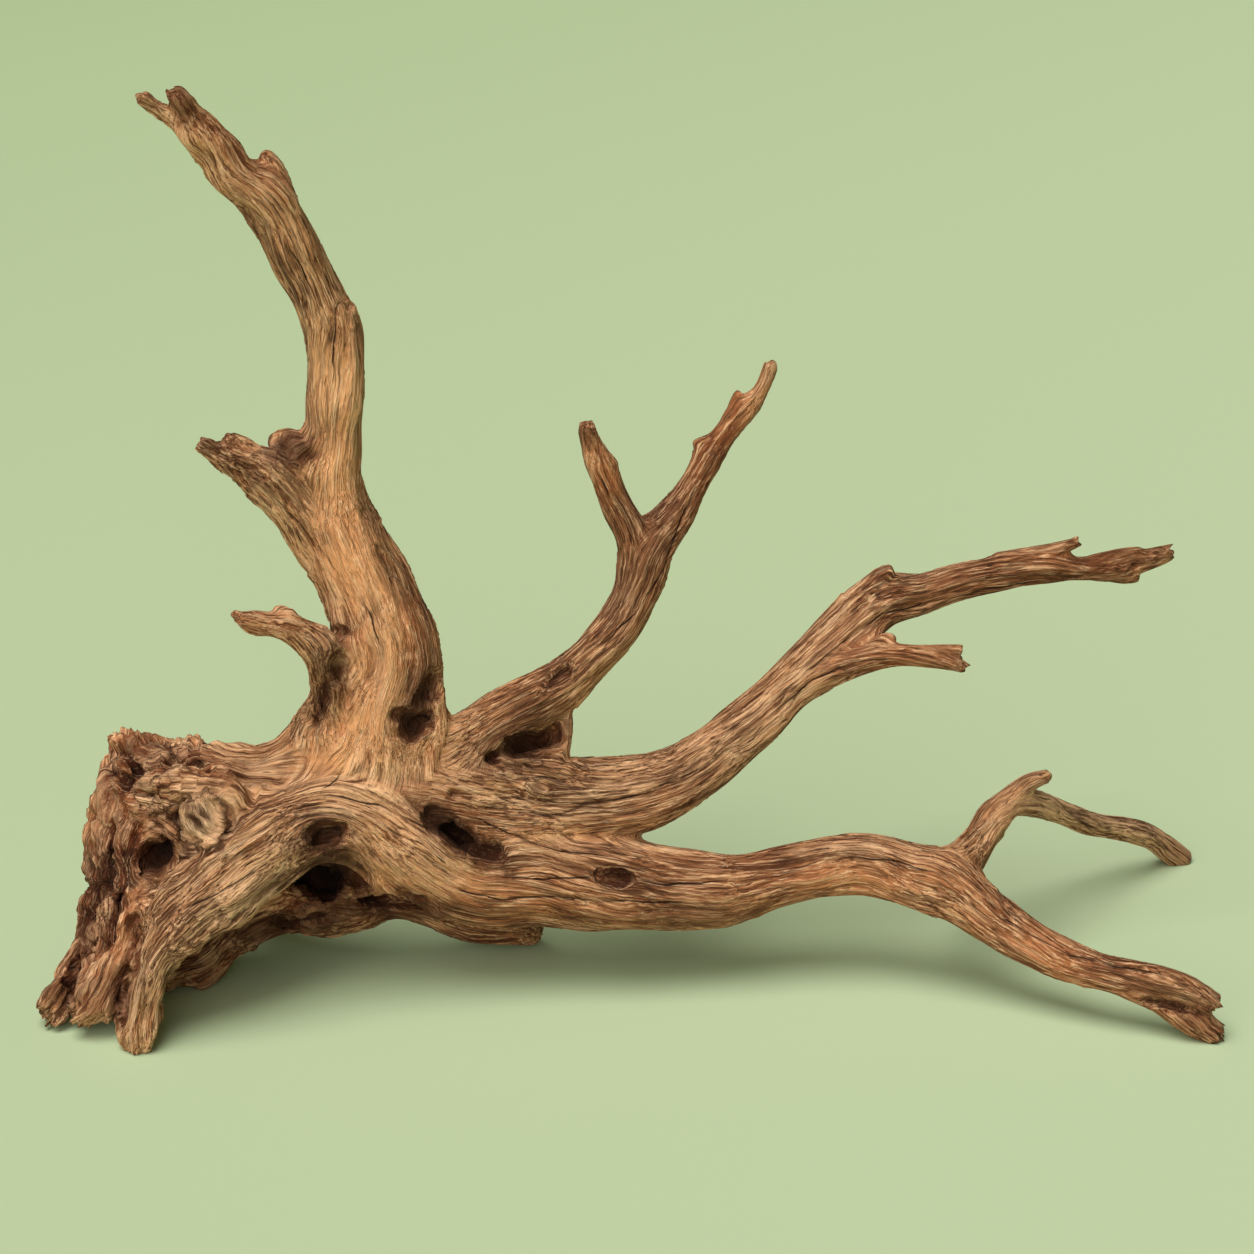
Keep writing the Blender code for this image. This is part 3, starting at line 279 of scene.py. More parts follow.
# Where the wood differs, and where shade is painted on (the dark zone): across, down, half length, half width,
# turn, amount
ZONES = {
    "broken": (
        (66, 392, 24, 18, 20, 1), (54, 436, 40, 15, 102, 1), (42, 484, 30, 15, 118, 0.9),
        (92, 380, 22, 8, 10, 0.8), (146, 226, 12, 9, 0, 1), (150, 460, 52, 11, -14, 0.9),
        (110, 474, 26, 12, -35, 0.8), (168, 318, 9, 14, 100, 0.5)),
    "warm": (
        (196, 340, 52, 20, 84, 1), (178, 280, 40, 18, 62, 1), (168, 236, 30, 14, 84, 1),
        (166, 190, 46, 14, 88, 0.6), (140, 112, 40, 12, 52, 0.4), (168, 372, 24, 14, -40, 0.8),
        (188, 434, 24, 12, 30, 0.7), (240, 446, 40, 9, 12, 0.8), (345, 456, 60, 8, -2, 0.7),
        (430, 440, 40, 8, 0, 0.7), (520, 478, 36, 9, 30, 0.6), (300, 232, 22, 8, 70, 0.6),
        (372, 205, 24, 7, -58, 0.6), (418, 325, 20, 8, -45, 0.5), (504, 404, 20, 8, -50, 0.7),
        (60, 410, 14, 8, 100, 0.4)),
    "pale": (
        (190, 396, 60, 8, 4, 0.9), (116, 450, 50, 11, -40, 1), (80, 480, 26, 9, -62, 1),
        (170, 404, 32, 6, -8, 0.7), (330, 386, 44, 9, -18, 0.9), (370, 362, 22, 8, -48, 0.8),
        (410, 326, 26, 7, -45, 0.6), (430, 426, 40, 5, 2, 0.7), (66, 484, 26, 6, 118, 0.8),
        (190, 330, 30, 6, 84, 0.6), (155, 205, 40, 5, 92, 0.5), (290, 428, 30, 5, 8, 0.6),
        (480, 296, 30, 5, -8, 0.5), (340, 250, 24, 4, -62, 0.4), (101, 410, 10, 9, 0, 2.8),
        (100, 400, 18, 7, 0, 1.3), (88, 393, 16, 4, 10, 1.8), (114, 426, 7, 3, 10, 1.8),
        (230, 385, 30, 8, -20, 0.8), (200, 388, 26, 8, 0, 1), (540, 472, 22, 5, 20, 0.5),
        (545, 406, 44, 9, 12, 2), (504, 408, 16, 8, -50, 0.8)),
    "grey": (
        (86, 398, 16, 6, 10, 0.4), (82, 412, 10, 8, 0, 0.5), (142, 225, 12, 8, 0, 0.9),
        (321, 256, 14, 11, 0, 0.8), (167, 328, 16, 11, 80, 0.9), (211, 350, 20, 8, 108, 1),
        (254, 380, 22, 10, -10, 0.7), (122, 388, 24, 8, 0, 0.4), (216, 408, 22, 8, 35, 0.8),
        (240, 424, 24, 8, 14, 0.6), (342, 446, 30, 10, 0, 0.5), (285, 330, 30, 8, -48, 0.5),
        (470, 288, 60, 9, -8, 0.6), (420, 318, 34, 16, -42, 0.75), (322, 285, 44, 12, -64, 0.6),
        (372, 366, 26, 8, -42, 0.3), (360, 440, 34, 8, -4, 0.4), (60, 500, 12, 6, 95, 0.9),
        (570, 492, 30, 8, 14, 0.5)),
    "brown": (
        (330, 268, 56, 20, -62, 1), (352, 232, 40, 14, -58, 1), (306, 250, 40, 14, 74, 0.9),
        (260, 352, 40, 18, -42, 0.6), (440, 312, 50, 18, -32, 0.7), (510, 288, 74, 14, -8, 1),
        (448, 332, 40, 12, 4, 0.9), (390, 350, 30, 18, -48, 0.4), (400, 440, 100, 22, 2, 0.6),
        (300, 446, 60, 22, 4, 0.6), (540, 480, 70, 22, 25, 0.8), (540, 410, 60, 14, 20, 0.15),
        (210, 318, 36, 8, 88, 0.7), (54, 430, 56, 18, 104, 1), (80, 380, 34, 11, 10, 1),
        (42, 490, 24, 16, 30, 0.6), (170, 457, 60, 11, -6, 0.9), (110, 476, 28, 10, -34, 0.9),
        (240, 460, 36, 12, 4, 0.8), (370, 345, 90, 16, -46, 0.5), (330, 450, 90, 16, 0, 0.5),
        (372, 436, 44, 14, -8, 0.9), (418, 318, 30, 14, -42, 0.6), (470, 440, 40, 18, 10, 0.4),
        (240, 380, 26, 14, -10, 0.5), (110, 60, 40, 14, 50, 0.8), (120, 232, 22, 12, 30, 0.4),
        (136, 312, 22, 9, 10, 0.5), (165, 335, 22, 12, 90, 0.5), (230, 413, 32, 13, 36, 1),
        (322, 437, 36, 9, 2, 0.9), (262, 380, 26, 9, -30, 0.3)),
    # The dark zone: painted shade on the undersides, crevices, pits, the cave and the shaded left edge of the
    # upright, and dark wood at the broken tips
    "dark_wood_and_shade": (
        (48, 440, 60, 10, 104, 0.7), (40, 496, 24, 12, 20, 0.6), (152, 461, 56, 9, -12, 1.35),
        (200, 455, 40, 6, 3, 1.2), (300, 462, 60, 6, -2, 0.5), (89, 50, 14, 8, 48, 0.7),
        (75, 50, 10, 6, 30, 0.7), (293, 218, 8, 6, 70, 0.8), (382, 190, 12, 6, -72, 0.5),
        (572, 276, 26, 9, -6, 0.8), (540, 288, 36, 5, -3, 0.6), (592, 502, 22, 10, 22, 0.7),
        (588, 427, 14, 7, 30, 0.6), (520, 390, 10, 6, -10, 0.5), (106, 222, 12, 6, 30, 0.5),
        (121, 307, 8, 6, 0, 0.4), (474, 329, 18, 7, 8, 0.6), (328, 270, 34, 9, -62, 0.6),
        (354, 236, 30, 6, -62, 0.5), (308, 262, 30, 6, 74, 0.4), (30, 497, 18, 8, 30, 0.8),
        (60, 505, 9, 4, 92, 1.3), (98.5, 411, 6, 2.2, 48, 1.5), (102.5, 407.5, 5.5, 1.8, 45, 1.4),
        (113, 412, 8, 2.4, 76, 1.2), (92, 402.5, 6, 1.8, 20, 1.1), (90, 413, 8, 1.6, 86, 1.2),
        (107, 391, 6, 2, 8, 1), (222, 413, 16, 8, 44, 0.9), (58, 400, 20, 10, 100, 0.5),
        (84, 380, 20, 7, 14, 0.5), (207, 350, 26, 8, 106, 0.8), (262, 372, 24, 12, -14, 0.7),
        (166, 433, 22, 15, 52, 1.4), (146, 227, 12, 10, 0, 1.2), (128, 238, 14, 4, 40, 0.9),
        (165, 168.5, 3, 1.6, 90, 1.5), (133, 122, 36, 4, 58, 0.8), (214, 322, 26, 4, 88, 0.5),
        (118, 414, 10, 4, 80, 0.9), (345, 458, 46, 6, -3, 0.9), (312, 296, 14, 10, -60, 0.7),
        (326, 262, 12, 12, 0, 0.5), (230, 418, 20, 10, 32, 0.7), (76, 430, 16, 12, 120, 0.6),
        (166, 344, 20, 10, 96, 0.6), (268, 356, 14, 8, -40, 0.7), (196, 290, 20, 5, 54, 0.7),
        (187, 254, 16, 5, 60, 0.6), (183, 230, 40, 4, 86, 0.4), (148, 240, 12, 8, 60, 0.5),
        (236, 455, 36, 6, 10, 0.5), (108, 480, 26, 7, -34, 0.7), (130, 385, 30, 6, 4, 0.3),
        (234, 420, 28, 7, 32, 0.8), (318, 437, 26, 6, 2, 0.55), (214, 398, 14, 4, 40, 0.3)),
}

# Limbs that grow out of a bigger one, whose grain runs on under them
GROWN_FROM = (
    "upright", "fork", "fork_left_arm", "high_stub", "low_stub", "side_stub", "spur", "rear_leg",
    "belly_root", "rear_root", "inner_toe", "back_root", "upright_prong", "upright_knob", "upright_collar",
    "high_stub_prong", "rear_leg_stub", "long_arm_foot",
)

# Limbs that end free, each in a broken end
BROKEN_ENDS = (
    "long_arm", "long_arm_foot", "trunk", "side_stub", "side_stub_prong", "spur", "tip_knob", "tip_sliver",
    "fork", "fork_left_arm", "upright", "upright_prong", "upright_collar", "high_stub", "high_stub_prong",
    "low_stub", "low_stub_prong", "left_toe", "middle_toe", "inner_toe", "rear_root", "rear_leg",
    "rear_leg_stub", "rim_lobe_a", "rim_lobe_c", "fork_nub", "back_root",
)


def place(stations):
    """Station rows as world points and true radii: the sight line through the sheet, cut at y = back."""
    across, down, back, radius = np.array(stations, float).T
    eye = np.array([0.0, 0.0, SHEET_MIDDLE_UP]) - EYE_DISTANCE * SIGHT
    sheet = np.outer(across - SHEET / 2, (1.0, 0.0, 0.0)) + np.outer(SHEET / 2 - down, SHEET_UP)
    line = EYE_DISTANCE * SIGHT + sheet
    scale = (back - eye[1]) / line[:, 1]
    return eye + scale[:, None] * line, radius * scale


def on_sheet(points):
    """Where world points fall on the sheet: (across, down)."""
    line = points - (np.array([0.0, 0.0, SHEET_MIDDLE_UP]) - EYE_DISTANCE * SIGHT)
    scale = EYE_DISTANCE / (line @ SIGHT)
    return line[:, 0] * scale + SHEET / 2, SHEET / 2 - (line @ SHEET_UP) * scale


def smooth_line(stations):
    """Points and radii about STATION_STEP apart on a Catmull-Rom curve through the stations."""
    rows = np.column_stack(place(stations))
    padded = np.vstack([2 * rows[0] - rows[1], rows, 2 * rows[-1] - rows[-2]])
    line = []
    for a, b, c, d in zip(padded, padded[1:], padded[2:], padded[3:]):
        steps = max(2, int(np.ceil(np.linalg.norm((c - b)[:3]) / STATION_STEP)))
        t = np.arange(steps)[:, None] / steps
        line.append(0.5 * (2 * b + (c - a) * t + (2 * a - 5 * b + 4 * c - d) * t**2
                           + (3 * b - a - 3 * c + d) * t**3))
    line = np.vstack([*line, rows[-1:]])
    return line[:, :3], np.maximum(line[:, 3], 1.5)


def unit(vectors):
    return vectors / np.maximum(np.linalg.norm(vectors, axis=-1, keepdims=True), 1e-9)


def frames_along(points):
    """The direction of a line at each point, and two directions square to it."""
    tangent = unit(np.gradient(points, axis=0))
    side = unit(np.cross(tangent, SIGHT))
    return tangent, side, np.cross(side, tangent)


def limb_rings(points, radii):
    """Vertices and faces of a limb as round rings, closed by a point at each end."""
    tangent, side, depth = frames_along(points)
    angle = np.linspace(0, 2 * np.pi, RING_SIDES, endpoint=False)
    spoke = np.cos(angle)[:, None] * side[:, None, :] + np.sin(angle)[:, None] * depth[:, None, :]
    rings = (points[:, None, :] + radii[:, None, None] * spoke).reshape(-1, 3)
    ends = [points[0] - 0.6 * radii[0] * tangent[0], points[-1] + 0.6 * radii[-1] * tangent[-1]]
    near = np.arange(RING_SIDES)
    far = (near + 1) % RING_SIDES
    faces = []
    for start in range(0, (len(points) - 1) * RING_SIDES, RING_SIDES):
        after = start + RING_SIDES
        faces += np.column_stack([start + near, start + far, after + far, after + near]).tolist()
    last = (len(points) - 1) * RING_SIDES
    faces += np.column_stack([np.full(RING_SIDES, len(rings)), far, near]).tolist()
    faces += np.column_stack([np.full(RING_SIDES, len(rings) + 1), last + near, last + far]).tolist()
    return np.vstack([rings, *ends]), faces


def limb_gap(at, points, radii):
    """For each place near a limb: gap outside it, way out, radius there, run, and offsets from its line.

    gap = distance to the nearest place on the limb's middle line - radius there.
    """
    tangent, side, depth = frames_along(points)
    run = np.concatenate([[0.0], np.cumsum(np.linalg.norm(np.diff(points, axis=0), axis=1))])
    margin = radii.max() + 30
    close = np.all((at > points.min(axis=0) - margin) & (at < points.max(axis=0) + margin), axis=1)
    gap, radius, along = np.full(len(at), FAR_AWAY), np.ones(len(at)), np.zeros(len(at))
    way, offset = np.zeros((len(at), 3)), np.zeros((len(at), 2))
    near = at[close]
    start, step = points[:-1], np.diff(points, axis=0)
    length2 = (step**2).sum(axis=1)
    t = np.clip((near @ step.T - (start * step).sum(axis=1)) / length2, 0, 1)
    reach = np.zeros(t.shape)
    for axis in range(3):
        reach += (near[:, axis, None] - start[:, axis] - t * step[:, axis])**2
    found = np.sqrt(reach) - (radii[:-1] + t * np.diff(radii))
    best = found.argmin(axis=1)
    row = np.arange(len(near))
    t = t[row, best]
    out = near - start[best] - t[:, None] * step[best]
    gap[close] = found[row, best]
    radius[close] = radii[best] + t * np.diff(radii)[best]
    along[close] = run[best] + t * np.sqrt(length2[best]) + (out * tangent[best]).sum(axis=1)
    way[close] = unit(out)
    side_there = side[best] + t[:, None] * (side[best + 1] - side[best])
    depth_there = depth[best] + t[:, None] * (depth[best + 1] - depth[best])
    offset[close] = np.column_stack([(out * side_there).sum(axis=1), (out * depth_there).sum(axis=1)])
    return gap, way, radius, along, offset


def melt(found):
    """The limbs melted together: gap = -k log(sum of exp(-gap of a limb / k)), way out and weights."""
    gaps = np.array([f[0] for f in found])
    nearest = gaps.argmin(axis=0)
    radius = np.array([f[2] for f in found])[nearest, np.arange(gaps.shape[1])]
    k = np.clip(FILLET_SHARE * radius, *FILLET_LIMITS)
    weight = np.exp(-(gaps - gaps.min(axis=0)) / k)
    total = weight.sum(axis=0)
    weight /= total
    way = unit(sum(w[:, None] * f[1] for w, f in zip(weight, found)))
    return gaps.min(axis=0) - k * np.log(total), way, weight, radius


def waves(at, size, seed):
    """A smooth random height from -1 to 1 at each place: the mean of twelve plane waves about size long."""
    rng = np.random.RandomState(seed)
    way = unit(rng.normal(size=(12, 3))) * 2 * np.pi / (size * rng.uniform(0.75, 1.5, (12, 1)))
    return np.sin(at @ way.T + rng.uniform(0, 2 * np.pi, 12)).mean(axis=1) * 2.4


def flutes(index, radius, run, offset):
    """A limb's lengthwise flutes: radius * sum of share * cos(lobes * angle + slow turn)."""
    rng = np.random.RandomState(100 + index)
    angle = np.arctan2(offset[:, 1], offset[:, 0])
    height = np.zeros(len(run))
    for lobes, share in FLUTES:
        turn = rng.uniform(0, 2 * np.pi) + run / rng.uniform(50, 120)
        swell = 0.65 + 0.35 * np.sin(run / rng.uniform(15, 40) + rng.uniform(0, 6))
        height += share * swell * np.cos(lobes * angle + turn)
    return radius * height


def lattice(q, seed):
    """Smooth random values from -1 to 1: random numbers at whole-number corners, blended between."""
    cell = np.floor(q).astype(np.int64)
    f = q - cell
    f = f * f * (3 - 2 * f)
    total = np.zeros(len(q))
    for corner in ((i, j, k) for i in (0, 1) for j in (0, 1) for k in (0, 1)):
        c = cell + np.array(corner)
        h = (c[:, 0] * 73856093) ^ (c[:, 1] * 19349663) ^ (c[:, 2] * 83492791) ^ (seed * 40503)
        h = (h ^ (h >> 13)) * 1274126177 & 0x7FFFFFFF
        h = h ^ (h >> 15)
        weight = np.prod(np.where(np.array(corner), f, 1 - f), axis=1)
        total += weight * ((h & 0xFFFF) / 32767.5 - 1)
    return total


def reach_of(at, across, down, half_length, half_width, turn):
    """How far each place is from the middle of an oval on the sheet: 1 on its edge."""
    cos, sin = np.cos(np.radians(turn)), np.sin(np.radians(turn))
    east, south = on_sheet(at)
    along = (east - across) * cos + (south - down) * sin
    aside = (south - down) * cos - (east - across) * sin
    return np.sqrt((along / half_length)**2 + (aside / half_width)**2)


def hollow_depth(at, way):
    """How far each place is pushed in by the hollows: along the line of sight, from its own level."""
    facing = way @ SIGHT
    wander = sum(share * lattice(at / cell, seed) for cell, share, seed in HOLLOW_WANDER)
    push = np.zeros(len(at))
    for across, down, half_length, half_width, turn, depth in HOLLOWS:
        reach = reach_of(at, across, down, half_length, half_width, turn)
        side = np.sign(depth)
        level = np.median(at[(reach < 0.8) & (facing * side < 0.1), 1])
        reach = np.sqrt(np.maximum(reach + wander, 0)**2 + ((at[:, 1] - level) / HOLLOW_REACH)**2)
        below = np.clip((on_sheet(at)[1] - down) / half_width, 0, 1)
        inside = np.clip((HOLLOW_RIM - reach) / (HOLLOW_WALL * (1 + below)), 0, 1)
        turned = np.clip(0.75 - facing * side * 1.5, 0, 1)
        push += depth * inside**2 * (3 - 2 * inside) * turned
    return push


def away_from(east, south, points):
    """Distance on the sheet to a chain of points, above zero on one side of it, and to its nearer end."""
    points = np.array(points, float)
    step = np.diff(points, axis=0)
    x, y = east[:, None] - points[:-1, 0], south[:, None] - points[:-1, 1]
    t = np.clip((x * step[:, 0] + y * step[:, 1]) / (step**2).sum(axis=1), 0, 1)
    away = np.hypot(x - t * step[:, 0], y - t * step[:, 1])
    row, nearest = np.arange(len(east)), away.argmin(axis=1)
    side = np.where((x * step[:, 1] - y * step[:, 0])[row, nearest] < 0, -1, 1)
    first = np.hypot(east - points[0, 0], south - points[0, 1])
    last = np.hypot(east - points[-1, 0], south - points[-1, 1])
    return away[row, nearest] * side, np.minimum(first, last)


def fold_height(at, facing):
    """The folds and ridges: the sum of -depth * exp(-(away / width)^2) on the side towards the sheet."""
    east, south = on_sheet(at)
    shift = FOLD_WANDER * lattice(at / FOLD_CELL, 57)
    height = np.zeros(len(at))
    for width, depth, *points in FOLDS:
        away, end = away_from(east, south, points)
        height -= depth * np.exp(-((np.abs(away) + shift) / width)**2) * np.clip(end / FOLD_FADE + 0.3, 0, 1)
    return height * np.clip(0.5 - facing * 1.8, 0, 1)


# Limbs as rings, fused in one closed skin
names = list(LIMBS)
lines = [smooth_line(stations) for _, stations in LIMBS.values()]
joined_verts, joined_faces, count = [], [], 0
for line in lines:
    verts, faces = limb_rings(*line)
    joined_verts.append(verts)
    joined_faces += [[count + corner for corner in face] for face in faces]
    count += len(verts)
mesh = bpy.data.meshes.new("rings")
mesh.from_pydata((np.vstack(joined_verts) * MM).tolist(), [], joined_faces)
wood = bpy.data.objects.new("driftwood_weathered", mesh)
bpy.context.scene.collection.objects.link(wood)


def baked(kind, **settings):
    """The wood's mesh with one modifier's work kept in it, and its points in millimetres."""
    modifier = wood.modifiers.new("work", kind)
    for name, value in settings.items():
        setattr(modifier, name, value)
    made = bpy.data.meshes.new_from_object(wood.evaluated_get(bpy.context.evaluated_depsgraph_get()))
    wood.modifiers.clear()
    wood.data = made
    found_at = np.empty(len(made.vertices) * 3)
    made.vertices.foreach_get("co", found_at)
    return made, found_at.reshape(-1, 3) / MM


def moved(mesh, at):
    """Puts the points, in millimetres, into the mesh, and gives back which way each one faces."""
    mesh.vertices.foreach_set("co", (at * MM).ravel())
    mesh.update()
    normals = np.empty(len(at) * 3)
    mesh.vertex_normals.foreach_get("vector", normals)
    return normals.reshape(-1, 3)


mesh, at = baked("REMESH", mode="VOXEL", voxel_size=FIRST_VOXEL * MM)
for _ in range(3):
    gap, way, _w, _r = melt([limb_gap(at, *line) for line in lines])
    at = at - gap[:, None] * way


def swelling(at, way, found, weight):
    """The shapes that the solid has too: flutes, slow waves, lumps on the crown, folds and ridges."""
    height = sum(w * flutes(i, f[2], f[3], f[4]) for i, (w, f) in enumerate(zip(weight, found)))
    crown = np.clip((CROWN_STARTS - at[:, 0]) / CROWN_BLEND, 0, 1)
    height += WAVE_HEIGHT * waves(at, WAVE_SIZE, 5) + crown * LUMP_HEIGHT * waves(at, LUMP_SIZE, 7)
    return height + fold_height(at, way @ SIGHT)


found = [limb_gap(at, *line) for line in lines]
gap, way, weight, radius = melt(found)
push = hollow_depth(at, way)
moved(mesh, at + (swelling(at, way, found, weight) - gap)[:, None] * way + push[:, None] * SIGHT)

# A second, finer skin, with as many points on the walls of the hollows as elsewhere
mesh, at = baked("REMESH", mode="VOXEL", voxel_size=SKIN_VOXEL * MM)
edges = np.empty(len(mesh.edges) * 2, np.int32)
mesh.edges.foreach_get("vertices", edges)
edges = edges.reshape(-1, 2)


def eased(values, times):
    """Values smoothed over the skin: each becomes the mean of itself and its neighbours' mean."""
    ends = np.bincount(edges.ravel(), minlength=len(values))
    for _ in range(times):
        total = np.zeros_like(values)
        np.add.at(total, edges[:, 0], values[edges[:, 1]])
        np.add.at(total, edges[:, 1], values[edges[:, 0]])
        values = (values + total / ends.reshape(-1, *[1] * (values.ndim - 1))) / 2
    return values


# A place sunk deeper than SUNK_SHALLOW is in a hollow and stays. The others go back to the shape
# that the coarser skin blurred. Deep folds count as hollows too.
SUNK_SHALLOW, SUNK_BLEND, MOST_SUNK = 0.9, 1.4, 30
FOLD_SHALLOW, FOLD_SHARE, FOLD_MOST = 1.2, 1.2, 6
at = eased(at, 3)
found = [limb_gap(at, *line) for line in lines]
gap, way, weight, radius = melt(found)
sunk = swelling(at, way, found, weight) - gap
inside = np.clip((sunk - SUNK_SHALLOW) / SUNK_BLEND, 0, 1)
at = at + (sunk * (1 - inside))[:, None] * way
in_fold = np.clip(-FOLD_SHALLOW - FOLD_SHARE * fold_height(at, way @ SIGHT), 0, FOLD_MOST)
hollow = np.clip(sunk, 0, MOST_SUNK) * inside + in_fold
out = moved(mesh, at)
facing = out @ SIGHT
front = np.clip(0.6 - facing * 1.6, 0, 1)
east, south = on_sheet(at)


ZONE_EDGE, ZONE_BLEND = 1.45, 0.9


def zone(kind):
    """How much of a kind of wood there is at each place: the fullest of its spots, with ragged edges."""
    ragged = 0.3 * lattice(at / 11.0, 91) + 0.2 * lattice(at / 4.0, 92)
    amount = np.zeros(len(at))
    for *spot, full in ZONES[kind]:
        inward = (ZONE_EDGE - reach_of(at, *spot) - ragged) / ZONE_BLEND
        amount = np.maximum(amount, full * np.clip(inward, 0, 1))
    return amount


# The arched root's front leg is sound and pale, whatever lies behind it. The crown's far side and the
# walls of the hollows are broken wood.
ARCH_ENDS, ARCH_BLEND = 150, 12
tones = {kind: zone(kind) for kind in ("warm", "pale", "grey", "brown", "dark_wood_and_shade")}
arch = weight[names.index("long_arm")] * np.clip((ARCH_ENDS - east) / ARCH_BLEND, 0, 1)
tones["brown"] *= 1 - arch
tones["dark_wood_and_shade"] *= 1 - arch
broken = zone("broken") * (1 - arch)
behind = np.clip((-175 - at[:, 0]) / 30, 0, 1) * np.clip(facing * 2, 0, 1)
in_hollow = np.clip((hollow - 1.5) / 5, 0, 0.6)
broken = np.maximum(np.maximum(broken, behind * 0.8), in_hollow)

# Grain lanes: in each lane a place has its position along and beside the limb that is nearest there.
# Where a limb flares the fibres spread with it: beyond its radius the offset is divided by the spread,
# and the run falls back. A limb that grows out of a bigger one takes over from it gradually.
# The grain parts round hollows and knots as water does round a post, so that near one
# offset = offset - share * (offset - the post's offset), share = 0.6 (1 / (reach^2 + 0.5) - 1 / 9.5).
LIMB_APART = 300
FLARE_STARTS, MOST_SPREAD = 1.05, 1.8
TAKEOVER_GAP, TAKEOVER_RUN = 8, 26
TWIST = 0.004
POST_REACH, POST_SHARE, POST_CORE = 3, 0.6, 0.5
MOST_BESIDE, MOST_PARTED = 25, 14
WANDER_CELL, WANDER_HEIGHT = (34, 20, 20), 2.0
WIGGLE_CELL, WIGGLE_HEIGHT = (13, 7, 7), 0.8
posts = [spot[:5] for spot in HOLLOWS if spot[5] > 8]
posts += [(271, 393.5, 9, 5, 4), (101.5, 411, 13, 12, 0), (169, 332, 9, 8, 0)]


def sideways(q, cell, seed):
    """A random shift square to the grain, from a lattice with cells of this size along and across."""
    return np.column_stack([np.zeros(len(q)), lattice(q / cell, seed), lattice(q / cell, seed + 16)])


lanes = []
row = np.arange(len(at))
for lane in range(4):
    members = [i for i, name in enumerate(names) if LIMBS[name][0] == lane]
    gaps = np.array([found[i][0] for i in members])
    for gap_there, i in zip(gaps, members):
        if names[i] in GROWN_FROM:
            gap_there += TAKEOVER_GAP * np.clip(1 - found[i][3] / TAKEOVER_RUN, 0, 1)
    pick = gaps.argmin(axis=0)
    run = np.array([found[i][3] + LIMB_APART * i for i in members])[pick, row]
    offset = np.array([found[i][4] for i in members])[pick, row]
    limb_radius = np.array([found[i][2] for i in members])[pick, row]
    spread = np.clip(np.linalg.norm(offset, axis=1) / (FLARE_STARTS * limb_radius), 1, MOST_SPREAD)
    run = run - (spread - 1) * limb_radius
    offset = offset / spread[:, None]
    cos, sin = np.cos(run * TWIST), np.sin(run * TWIST)
    turned = np.column_stack([offset[:, 0] * cos - offset[:, 1] * sin,
                              offset[:, 0] * sin + offset[:, 1] * cos])
    parted = np.zeros_like(turned)
    for post in posts:
        reach = reach_of(at, *post)
        middle = (reach + 9 * (front < 0.5)).argmin()
        near = (pick == pick[middle]) & (reach < POST_REACH) & (front > 0)
        share_there = POST_SHARE * front[near]
        share_there *= 1 / (reach[near]**2 + POST_CORE) - 1 / (POST_REACH**2 + POST_CORE)
        beside = np.clip(turned[near] - turned[middle], -MOST_BESIDE, MOST_BESIDE)
        parted[near] -= share_there[:, None] * beside
    q = np.column_stack([run, turned + np.clip(parted, -MOST_PARTED, MOST_PARTED)])
    wander = WANDER_HEIGHT * sideways(q, WANDER_CELL, 31 + lane)
    wiggle = WIGGLE_HEIGHT * sideways(q, WIGGLE_CELL, 131 + lane)
    lanes.append((q + wander + wiggle, gaps.min(axis=0)))

LANE_BLEND = 1.7
lane_gaps = np.array([lane_gap for _, lane_gap in lanes])
share = np.exp(-(lane_gaps - lane_gaps.min(axis=0)) / LANE_BLEND)
share /= share.sum(axis=0)

# The knot's own grain runs across its lean in a slow curve
across, down, size, height = EYE
reach = np.hypot(east - across, (south - down) * 0.9) / size
reach = reach + 0.26 * lattice(at / 7.0, 15) + 0.12 * lattice(at / 2.8, 16)
ringed = (reach < 1.05) & (front > 0.2)
groove = EYE_GROOVE * np.exp(-((reach - 1.12) / 0.12)**2)
rim = (height * np.exp(-((reach - 0.85) / 0.2)**2) - groove) * front
lean = np.radians(KNOT_LEAN)
along = (east - across) * np.cos(lean) + (south - down) * np.sin(lean)
aside = (south - down) * np.cos(lean) - (east - across) * np.sin(lean)
curved = 1.1 * aside + 0.035 * along**2 + 1.5 * lattice(at / 5.0, 17)
knotted = np.column_stack([2.2 * along, curved, 0.3 * at[:, 1]])
lanes = [np.where(ringed[:, None], knotted, q) for q, _ in lanes]

# Weathering along the grain, as heights in millimetres: broad ridges, grooves and thin grooves where
# a noise passes zero, and flakes that end in a step. Broken wood is torn, with crumbs and chunks.
# Each cell is the size of a noise's cells along the grain and across it.
BROAD_CELL, BROAD_HEIGHT = (85, 9, 9), 0.9
GROOVE_CELL, GROOVE_WIDTH, GROOVE_DEPTH = (95, 7, 7), 0.26, 1.1
THIN_CELL, THIN_WIDTH, THIN_DEPTH = (70, 4.8, 4.8), 0.34, 0.7
FLAKE_CELL, FLAKE_STEPS, FLAKE_HEIGHT = (70, 8, 8), 2.0, 0.6
RIDGE_CELL, RIDGE_HEIGHT = (34, 7, 7), 2.0
FIBRE_CELL, FIBRE_HEIGHT = (13, 3.4, 3.4), 1.1
CRUMB_CELL, CHUNK_CELL = 5.2, 10.5


def trough(noise, width):
    """A groove where a noise passes zero: 1 in its middle, 0 from width on."""
    return np.clip(1 - np.abs(noise) / width, 0, 1)


